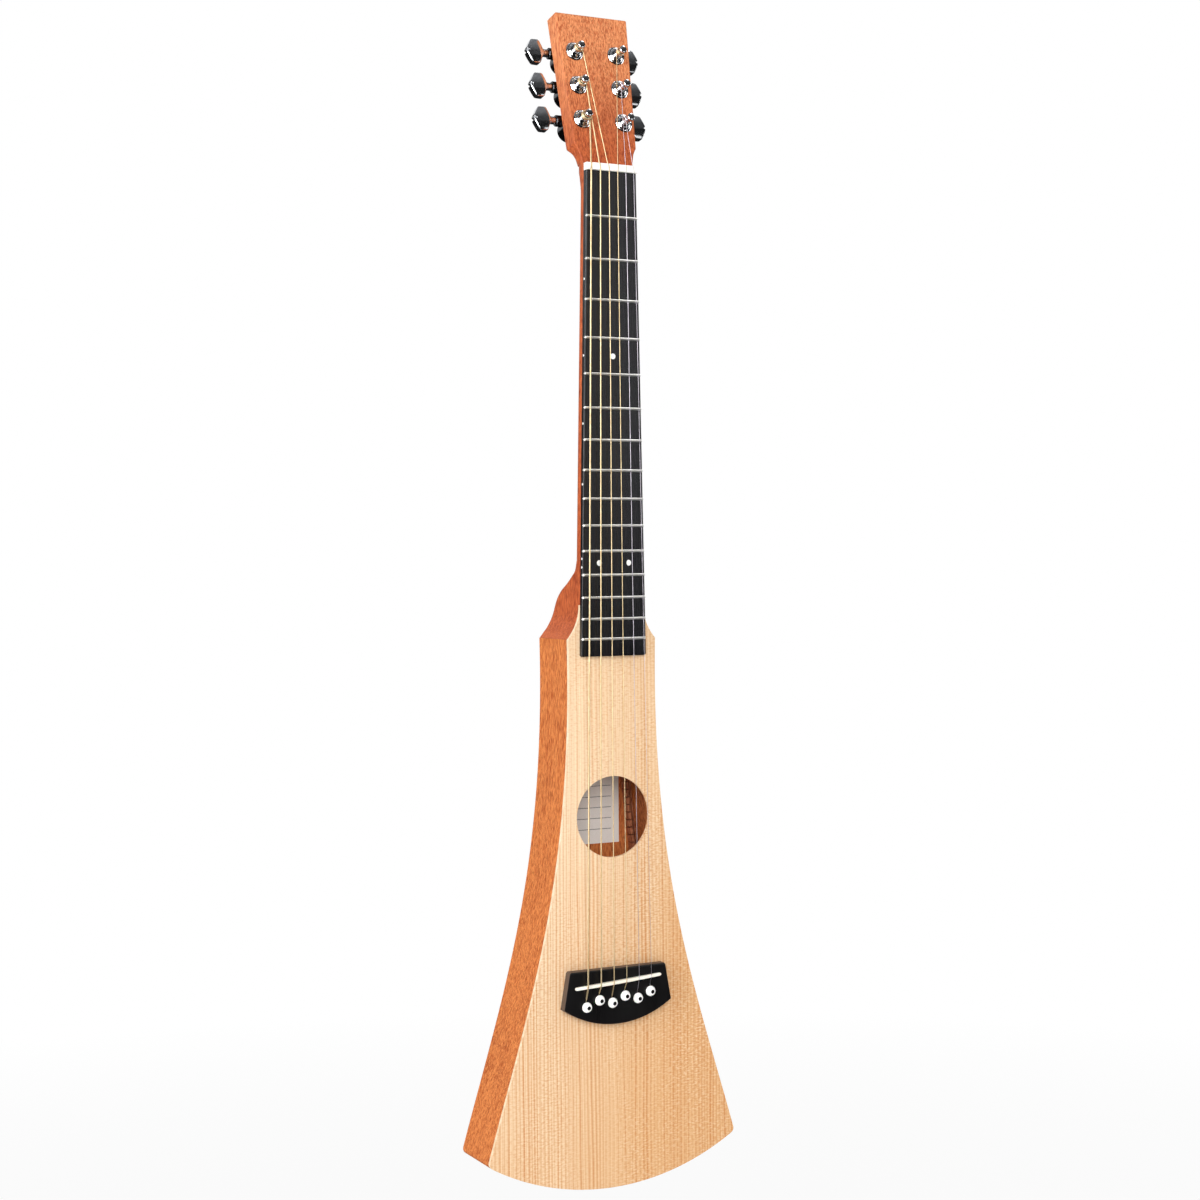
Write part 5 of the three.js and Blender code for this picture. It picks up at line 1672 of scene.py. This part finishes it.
def make_nut():
    half = nut_width / 2
    side = -nut_top + board_fall(half) + nut_side_drop
    across = [(half - 0.3) * (1 - 2 * k / crown_steps) for k in range(crown_steps + 1)]
    crown = [(x, -nut_top + board_fall(x)) for x in across]
    profile = [(half, nut_foot), (half, side)] + crown + [(-half, side), (-half, nut_foot)]
    levels = [(0.15, 0.5), (0.65, 0.0), (nut_thickness - 1.4, 0.0), (nut_thickness - 0.1, 0.9)]
    rings = [[(x, min(y + drop, nut_foot), z) for x, y in profile] for z, drop in levels]
    piece = make_piece("white_nut", loft(rings), nut_white)
    for index in range(string_count):
        start = Vector((nut_x[index], nut_y(index), 0))
        slope = coil(index)[0] - start
        slope /= slope.z
        cut(piece, channel(start - slope * 2, start + slope * (nut_thickness + 2), index, -nut_top - 4))
    return settle(shade(piece, sharp=40), "guitar", "nut_white", "nut")


nut = make_nut()
print("nut faces:", len(nut.data.polygons))

# %% [markdown]
# ## Bridge and saddle
# The bridge is a black plate with a straight front, slanted ends and a belly that follows an arc.
# Its upper edge is rounded over. Then it is machined: six tapered pin holes, a slanted slot for the
# saddle, and a short ramp that lets each string rise from its hole.

# %% Bridge
bridge_front_z = -604.0
bridge_depth = 28
bridge_belly = 15
bridge_front_half, bridge_back_half = 41.2, 46.8
bridge_corner = 1.1
saddle_half_length = 37
saddle_thickness = 2.4
saddle_seat = 4.2


def bridge_outline():
    back_z = bridge_front_z - bridge_depth
    radius = (bridge_back_half**2 + bridge_belly**2) / (2 * bridge_belly)
    centre = back_z - bridge_belly + radius
    sweep = math.asin(bridge_back_half / radius)
    inner, outer = bridge_front_half - bridge_corner, bridge_front_half + 0.15
    line = [(-inner, bridge_front_z), (inner, bridge_front_z), (outer, bridge_front_z - bridge_corner)]
    for k in range(41):
        angle = sweep * (1 - k / 20) * 0.985
        line.append((radius * math.sin(angle), centre - radius * math.cos(angle)))
    return line + [(-outer, bridge_front_z - bridge_corner)]


def on_saddle(point):
    """A point of the saddle's own frame in the guitar's: turned by the slant, moved to its line."""
    cos, sin = math.cos(saddle_slant), math.sin(saddle_slant)
    return Vector((point.x * cos - point.z * sin, point.y, saddle_z + point.x * sin + point.z * cos))


def slot_outline(half_length, half_width, steps=10):
    """A long slot with round ends, in x and z."""
    angles = [math.pi * (k / steps - 0.5) for k in range(steps + 1)]
    half = [(half_length - half_width + half_width * math.cos(a), half_width * math.sin(a)) for a in angles]
    return half + [(-x, -z) for x, z in half]


def make_bridge():
    top = -bridge_thickness
    blank = plate(bridge_outline(), [], top, -0.02, 0.9, 0.05)
    piece = make_piece("belly_bridge", blank, bridge_black)
    room = running_gap * 0.6
    slot = plate(slot_outline(saddle_half_length + room, saddle_thickness / 2 + room), [],
                 top - 2, saddle_seat + running_gap + top, 0, 0)
    cut(piece, mapped(slot, on_saddle))
    wide = pin_hole_radius + 0.5
    hole = turned([(pin_hole_radius, -1), (pin_hole_radius, bridge_thickness - 0.45),
                   (wide, bridge_thickness + 0.05), (wide, bridge_thickness + 2)], 28)
    for index, (x, z) in enumerate(pin_places):
        groove, exit_y, exit_z = string_exit(index)
        deep = Vector((x, exit_y + exit_z - groove, groove))
        ramp_end = Vector((x, exit_y - 0.6, exit_z + 0.6))
        cut(piece, mapped(hole, lambda p: Vector((x + p.x, -p.z, z + p.y))),
            channel(deep, ramp_end, index, top - 3), channel(Vector((x, deep.y, z)), deep, index, top - 3))
    shade(piece, sharp=38)
    piece.data.materials.append(bridge_edge)
    # Sideways faces outside the saddle and pin area take the lighter copy, a painted reflection.
    for face in piece.data.polygons:
        x, y, z = face.center * PER_METRE
        inside = abs(x) < bridge_front_half - 2 and bridge_front_z - bridge_depth < z < bridge_front_z - 1
        if abs(face.normal.y) < 0.75 and not inside:
            face.material_index = 1
    return settle(piece, "guitar", "bridge_black", "bridge")


bridge = make_bridge()
print("bridge faces:", len(bridge.data.polygons))


# %% Saddle
def make_saddle():
    rings = []
    bottom = saddle_seat - bridge_thickness
    half = saddle_thickness / 2
    stations = 48
    for k in range(stations + 1):
        x = -saddle_half_length * math.cos(math.pi * k / stations)
        over = max(0.0, abs(x) - (saddle_half_length - half))
        wide = max(0.25, math.sqrt(max(0, half**2 - over**2)))
        top = -saddle_height + board_fall(x) + 0.35 * (over / half) ** 2
        ring = [(x, bottom, wide), (x, bottom, -wide)]
        for j in range(9):
            angle = math.pi * j / 8
            ring.append((x, top + 0.62 * (1 - math.sin(angle)), -wide * math.cos(angle)))
        rings.append(ring)
    piece = make_piece("slanted_saddle", mapped(loft(rings), on_saddle), saddle_white)
    return settle(shade(piece, sharp=50), "guitar", "saddle_white", "saddle")


saddle = make_saddle()
print("saddle faces:", len(saddle.data.polygons))

# %% [markdown]
# ## Bridge pins
# Six tapered pins hold the strings. They repeat, and their places follow a rule: an even spread, a
# row that leans with the saddle, and every second pin set forward. The same tree places the white
# pins and the black dots let into their crowns.

# %% Pins by rule
pin_spread = pin_places[-1][0] - pin_places[0][0]
pin_stagger = 3.6
pin_row_z = pin_places[0][1] - pin_places[0][0] * math.tan(saddle_slant)
pin_head_height = 4.2
pin_collar_height = 1.5
pin_top = running_gap + pin_head_height
pin_dot_radius = 1.5
pin_dot_edge = pin_top - 0.12


def row_tree():
    tree, get = node_tree("pins_in_a_leaning_row", count="Int", spread="Float", row="Float", stagger="Float",
                          lean="Float", seat="Float", white="Material")
    maths = partial(calculate, tree)
    index = add_node(tree, "GeometryNodeInputIndex").outputs[0]
    share = maths("SUBTRACT", maths("DIVIDE", index, maths("SUBTRACT", get["Count"], 1.0)), 0.5)
    x = maths("MULTIPLY", share, get["Spread"])
    forward = maths("MULTIPLY", maths("MODULO", index, 2.0), get["Stagger"])
    z = maths("ADD", maths("ADD", get["Row"], forward), maths("MULTIPLY", x, get["Lean"]))
    return end_tree(tree, stand_copies(tree, get, x, get["Seat"], z), get["White"])


def pin_profile():
    """Tapered shaft, collar and round crown. Heights are above the bridge."""
    seat = running_gap
    crown_low = seat + pin_collar_height
    head = [(pin_head_radius * 0.9, seat), (pin_head_radius, seat + 0.35), (pin_head_radius, seat + 0.95),
            (pin_head_radius * 0.9, seat + 1.35), (pin_head_radius * 0.83, crown_low)]
    for k in range(1, 11):
        angle = math.pi / 2 * k / 10
        radius = pin_head_radius * (0.83 + 0.08 * math.sin(2 * angle)) * math.cos(angle)
        if radius > pin_dot_radius:
            head.append((radius, crown_low + (pin_top - crown_low) * math.sin(angle)))
    shaft = [(1.2, -23), (2.1, -22), (pin_shaft_radius, -0.5), (pin_shaft_radius, seat)]
    return shaft + head + [(pin_dot_radius, pin_dot_edge), (pin_dot_radius, pin_top - 0.5)]


def pin_crown(point):
    """From a pin's own frame, with its height along z, to the guitar's frame at the origin."""
    return Vector((point.x, -point.z, point.y))


def pin_row(pattern, material, slot, *nodes):
    """Six copies of a pattern in the pins' places."""
    rule = dict(count=string_count, spread=pin_spread * MM, row=pin_row_z * MM, stagger=pin_stagger * MM,
                lean=math.tan(saddle_slant), seat=-bridge_thickness * MM)
    return settle(shade(grow(pattern, pin_tree, white=material, **rule), sharp=45), "guitar", slot, *nodes)


pin_tree = row_tree()
pin = make_piece("white_bridge_pins", mapped(turned(pin_profile(), 36), pin_crown))
groove_half = string_diameters[0] / 2 + string_gap
groove_depth = pin_shaft_radius + running_gap - 2 * groove_half
cut(pin, block((-groove_half, -running_gap + 0.05, groove_depth), (groove_half, 26, pin_head_radius + 2)))
pins = pin_row(pin, pin_white, "pin_white",
               *[f"bridge_pin_{number}" for number in range(1, string_count + 1)])
dot_edge_radius = pin_dot_radius - 0.02
pin_dot = turned([(dot_edge_radius, pin_top - 0.48), (dot_edge_radius, pin_dot_edge),
                  (pin_dot_radius * 0.6, pin_top - 0.03)], 24)
pin_row(make_piece("pin_dots", mapped(pin_dot, pin_crown)), bridge_black, "bridge_black")
print("pin faces:", len(pins.data.polygons))

# %% [markdown]
# ## Tuning machines
# Each machine has three parts that move apart from each other: the case with its flange, the button
# on its worm, and the post on its gear. They are built about the post's own axis, x across the
# headstock, y up it and z out of its face, and then moved to their place. The worm and the gear are
# real: their pitch gives the fourteen turns of the button that one turn of the post takes.

# %% Case and flange
gear_teeth = 14
gear_pitch_radius = 4.6
gear_face = 2.6
tooth_height = 0.85
worm_pitch_radius = 2.0
worm_turns = 4
worm_lead = math.pi * 2 * gear_pitch_radius / gear_teeth
worm_length = worm_turns * worm_lead
worm_y = gear_pitch_radius + worm_pitch_radius + 0.25
worm_z = -head_thickness - 6.7
case_radius = 8.6
case_depth = 12.4
case_wall = 1.7
boss_radius = 4.4
boss_reach = 11.8
flange_radius = 7.3
flange_height = 1.9
# Outer radius and height of each ring, and its slope in degrees at the outer and the inner edge
flange_rings = [(flange_radius, 0.5, 42, 20), (5.75, 0.98, 40, 24)]
ring_width = 1.3
dome_round = 2.6
ear_up = -10.4
ear_thickness = 2.4
post_radius = 3.0
eye_radius = 0.6
shaft_radius = 2.1


def along_x(shape):
    """A shape turned about z, laid along the worm's axis instead."""
    return mapped(shape, lambda p: Vector((p.z, worm_y + p.x, worm_z - p.y)))


def flange_profile(back):
    """Sleeve through the headstock, and a flange with two sloped rings turned into its face."""
    profile = [(sleeve_radius, back - 1), (sleeve_radius, running_gap), (flange_radius - 0.2, running_gap),
               (flange_radius, running_gap + 0.12)]
    for radius, height, slope_out, slope_in in flange_rings:
        for k in range(6):
            profile.append((radius, height))
            slope = math.radians(slope_out + (slope_in - slope_out) * k / 5)
            radius -= ring_width / 6
            height += ring_width / 6 * math.tan(slope) * 0.92
    return profile + [(4.35, flange_height - 0.12), (4.2, flange_height), (3.9, flange_height)]


def make_case(side):
    """Case, worm boss, screw ear, sleeve and flange, hollow inside for the gear and the worm."""
    back = -head_thickness - running_gap
    far = back - case_depth
    dome = [(2.2, far), (2.2, far + 0.35), (2.7, far + 0.35), (case_radius - 3.2, far + 0.1)]
    for k in range(7):
        angle = math.pi / 2 * k / 6
        dome.append((case_radius - dome_round + dome_round * math.sin(angle),
                     far + dome_round - dome_round * math.cos(angle)))
    dome += [(case_radius, back - 0.3), (case_radius - 0.3, back)]
    piece = make_piece(f"case_{side}", turned(dome, 56), case_chrome)
    join(piece, along_x(bar(boss_radius, -side * 6.4, side * boss_reach, 40, 0.6)), case_chrome)
    ring = bar(boss_radius - 0.9, side * (boss_reach - 0.5), side * (boss_reach - 0.01), 40, 0.2)
    join(piece, along_x(ring), chrome)
    ear = plate(slot_outline(3.2, 3.1999, 14), [], 0, ear_thickness, 0.15, 0.5)
    join(piece, mapped(ear, lambda p: Vector((p.x, ear_up + p.z, back - p.y))), case_chrome)
    seat = back - ear_thickness
    screw = turned([(2.1, 0), (2.1, 0.5), (1.5, 1.0)], 24)
    join(piece, mapped(screw, lambda p: Vector((p.x, ear_up + p.y, seat + 0.3 - p.z))), chrome)
    for wide, long in ((1.1, 0.22), (0.22, 1.1)):
        cut(piece, block((-wide, ear_up - long, seat - 3), (wide, ear_up + long, seat - 0.35)))
    join(piece, turned(flange_profile(back), 56), chrome)
    gear_room = gear_pitch_radius + tooth_height / 2 + 2 * running_gap
    worm_room = worm_pitch_radius + tooth_height / 2 + 2 * running_gap
    worm_end = worm_length / 2 + running_gap
    cut(piece,
        bar(post_radius + running_gap, back - case_wall - 1, flange_height + 1, 40),
        bar(gear_room, far + case_wall, back - case_wall, 48),
        along_x(bar(worm_room, -worm_end, worm_end)),
        along_x(bar(shaft_radius + running_gap, 0, side * (boss_reach + 1))))
    return shade(piece, sharp=34)


print(f"worm lead {worm_lead:.2f} mm, {gear_teeth} teeth")

# %% Button, worm and post
button_inner = 16.9
button_length = 13.2
button_half_thickness = 4.2
button_notch = 1.9
button_notch_half = 1.2
# Height above the worm's axis, and how far out the inner and the outer edge lie there
button_sides = [(0, 0, 13.2), (1.2, 0.08, 13.2), (2.2, 0.3, 12.95), (3.4, 0.65, 12.4), (4.6, 1.05, 11.85),
                (5.8, 1.5, 11.25), (7.0, 1.95, 10.65), (8.0, 2.35, 10.1), (8.7, 2.65, 9.7), (9.2, 3.0, 9.3),
                (9.5, 3.8, 8.5)]
button_heights = [0.5] + [height for height, _, _ in button_sides[1:]]
# How far in from the edge, share of half the thickness, and how deep the notch is there
button_levels = [(0.5, -1, 0.8), (0.08, -0.87, 0.97), (0, -0.82, 1), (0, -0.5, 1)]
button_sag = 0.24
button_bow = 0.25
button_columns = 8


def worm_rings(rows_per_turn=12, steps=24):
    """A trapezoid thread, right-handed about +X, with a groove facing the gear at x = 0."""
    root = worm_pitch_radius - tooth_height / 2
    rows = worm_turns * rows_per_turn
    rings = []
    for row in range(rows + 1):
        x = -worm_length / 2 + worm_lead * row / rows_per_turn
        fade = min(1.0, row / 6, (rows - row) / 6)
        ring = []
        for k in range(steps):
            angle = 2 * math.pi * k / steps
            turns = x / worm_lead - (angle + math.pi) / (2 * math.pi)
            crest = (abs(turns - round(turns)) - 0.09) / 0.12
            radius = root + tooth_height * max(0.0, min(1.0, 1 - crest)) * fade
            ring.append((x, worm_y - radius * math.cos(angle), worm_z - radius * math.sin(angle)))
        rings.append(ring)
    return rings


def button_shape():
    """Rings round the rim, and a grid of rows over each crowned face. Made with its axis at zero."""
    middle, top = button_length / 2, button_heights[-1]
    rows = [-y for y in reversed(button_heights)] + [0] + button_heights

    def on_level(x, y, share):
        crown = 1 - button_sag * (y / top) ** 2 - button_bow * (x / button_length) ** 2
        return button_inner + x, y, share * crown * button_half_thickness

    points, faces = [], []
    levels = button_levels + [(inset, -share, notch) for inset, share, notch in reversed(button_levels)]
    for inset, share, notch in levels:
        inner_edge, outer_edge = [], []
        for y in rows:
            inner, outer = flowing(button_sides, abs(y))
            outer -= button_notch * notch * max(0, 1 - (y / button_notch_half) ** 2)
            for edge, x in ((inner_edge, inner), (outer_edge, outer)):
                edge.append(on_level(middle + (x - middle) * (1 - inset / middle), y * (1 - inset / top), share))
        points += outer_edge + inner_edge[::-1]
    count = 2 * len(rows)
    for level in range(len(levels) - 1):
        for i in range(count):
            j = (i + 1) % count
            faces.append(tuple(level * count + k for k in (i, j, count + j, count + i)))
    for first, share in ((0, levels[0][1]), (count * (len(levels) - 1), levels[-1][1])):
        grid = []
        for row in range(len(rows)):
            outer, inner = points[first + row], points[first + count - 1 - row]
            line = [first + row]
            for column in range(1, button_columns):
                x = outer[0] + (inner[0] - outer[0]) * column / button_columns - button_inner
                line.append(len(points))
                points.append(on_level(x, outer[1], share))
            grid.append(line + [first + count - 1 - row])
        for here, there in zip(grid, grid[1:]):
            for column in range(button_columns):
                faces.append((here[column], here[column + 1], there[column + 1], there[column]))
    return points, faces


def make_button(side):
    shape = mapped(button_shape(), lambda p: Vector((side * p.x, worm_y + p.y, worm_z + p.z)))
    piece = make_piece(f"button_{side}", shape, chrome)
    shade(piece, sharp=28, arris=0.2, segments=3)
    collar = turned([(2.6, boss_reach + 0.35), (3.0, boss_reach + 0.6), (3.05, boss_reach + 1.1),
                     (3.05, button_inner - 1.2), (3.35, button_inner - 0.9), (3.4, button_inner - 0.3),
                     (3.1, button_inner + 1.2)], 40)
    for part in (collar, bar(shaft_radius, worm_length / 2 - 0.3, button_inner)):
        join(piece, along_x(mapped(part, lambda p: Vector((p.x, p.y, side * p.z)))), chrome)
    join(piece, loft(worm_rings()), chrome)
    return shade(piece, sharp=34)


def post_profile():
    """Shaft, waist for the string's turns, and a cap with a low dome."""
    profile = [(post_radius, worm_z), (post_radius, 5.0)]
    for k in range(1, 7):
        angle = math.pi / 2 * k / 6
        profile.append((post_radius - 0.5 * math.sin(angle), 5.0 + 0.8 * (1 - math.cos(angle))))
    profile += [(post_waist, 11.0), (post_waist + 0.12, 11.2), (post_radius - 0.08, 11.3), (post_radius, 11.42)]
    profile += [(post_radius, 12.6), (post_radius - 0.14, 12.95), (post_radius - 0.5, 13.16)]
    return profile + [(1.9, 13.29), (1.2, 13.36), (0.5, 13.39)]


def gear_outline():
    tip, root = gear_pitch_radius + tooth_height / 2, gear_pitch_radius - tooth_height / 2
    flank = [(root, -0.17), (tip - 0.2, -0.1), (tip, -0.06)]
    tooth = flank + [(radius, -share) for radius, share in reversed(flank)]
    ring = []
    for number in range(gear_teeth):
        for radius, share in tooth:
            angle = math.pi / 2 + (number + share) * 2 * math.pi / gear_teeth
            ring.append((radius * math.cos(angle), radius * math.sin(angle)))
    return ring


def make_post():
    piece = make_piece("post", turned(post_profile(), 40), chrome)
    gear = loft([[(x, y, z) for x, y in gear_outline()]
                 for z in (worm_z - gear_face / 2, worm_z + gear_face / 2)])
    join(piece, gear, ball_brass)
    eye_up = winding_top + 0.15 + eye_radius
    cut(piece, mapped(bar(eye_radius, -5, 5, 16), lambda p: Vector((p.x, p.z, eye_up + p.y))))
    return shade(piece, sharp=34)


print("points of the button's rim:", len(button_heights) * 4 + 2, "points of the gear:", len(gear_outline()))

# %% Six machines
def copy_to(pattern, name, number):
    """A copy of a pattern piece, with its mesh moved to a tuner's place on the headstock."""
    mesh = pattern.data.copy()
    mesh.name = name
    origin = from_head((0, 0, 0))
    axes = [from_head(axis) - origin for axis in ((1, 0, 0), (0, 1, 0), (0, 0, 1))]
    place = on_post(number)(Vector((0, 0, 0))) * MM
    mesh.transform(Matrix.Translation(place) @ Matrix(axes).transposed().to_4x4())
    return put(name, mesh)


post_pattern = make_post()
for side in (-1, 1):
    patterns = {"case": make_case(side), "button": make_button(side), "post": post_pattern}
    for number in range(1, string_count + 1):
        if tuner_place(number)[0] == side:
            for part, body, node in (("case", "guitar", "housing"), ("button", f"worm_{number}", "button"),
                                     ("post", f"post_{number}", "post")):
                settle(copy_to(patterns[part], f"machine_{number}_{part}", number), body, "tuner_chrome",
                       f"tuner_{number}_{node}")
    print("side", side, {part: len(pattern.data.polygons) for part, pattern in patterns.items()})
    for part in ("case", "button"):
        bpy.data.objects.remove(patterns[part])
bpy.data.objects.remove(post_pattern)

# %% [markdown]
# ## Inside the body
# Through the soundhole one sees the back and its label. Braces stiffen the plates: a brace is tall
# in the middle, thins out towards its ends and has a rounded crest. The rod in the neck and the
# plate under the bridge keep the frame's own shape and only get their finish.

# %% Braces and label
brace_taper = 0.28
brace_end = 0.3


def make_brace(name, node, base_y, sign):
    """A brace on a plate at base_y that stands up by its height in the direction of the sign."""
    low, high = node_box(node)
    height = high.y - low.y
    middle_z = (low.z + high.z) / 2
    half_width = (high.z - low.z) / 2
    rings = []
    for k in range(33):
        share = -1 + k / 16
        taper = min(1.0, (1 - abs(share)) / brace_taper)
        tall = height * (brace_end + (1 - brace_end) * (3 * taper**2 - 2 * taper**3))
        ring = [(share * high.x, base_y, middle_z + half_width)]
        for j in range(9):
            angle = math.pi * j / 8
            ring.append((share * high.x, base_y + sign * tall * (0.55 + 0.45 * math.sin(angle) ** 0.7),
                         middle_z + half_width * math.cos(angle) * (0.92 if 0 < j < 8 else 1)))
        rings.append(ring + [(share * high.x, base_y, middle_z - half_width)])
    piece = make_piece(name, loft(rings), brace_spruce)
    return settle(shade(piece, sharp=40), "guitar", "spruce", node)


make_brace("upper_top_brace", "upper_brace", top_thickness, 1)
make_brace("lower_top_brace", "lower_brace", top_thickness, 1)
make_brace("cross_back_brace", "back_brace", back_seat, -1)

label_left, label_top = label_right - label_width, label_bottom + label_height
label_sheet = [(label_left, label_bottom), (label_right, label_bottom), (label_right, label_top),
               (label_left, label_top)]
label = make_piece("paper_label", plate(label_sheet, [], back_seat - 0.16, back_seat - 0.01, 0.03, 0.03), paper)
settle(shade(label), "guitar", None)
print(f"label {label_width} x {label_height} mm")

for node, material in (("bridge_plate", plate_mahogany), ("neck_rod", rod_steel)):
    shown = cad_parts[node]
    shown.data.materials.clear()
    shown.data.materials.append(material)

# %% [markdown]
# ## Sizes at the end
# The dressed guitar must stay inside the frame's box. Both boxes are printed.

# %% Sizes and finish
visual_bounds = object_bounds()
for key, (low, high) in (("frame", cad_bounds), ("dressed", visual_bounds)):
    print(key, [round(value * PER_METRE, 2) for value in (*low, *high)])
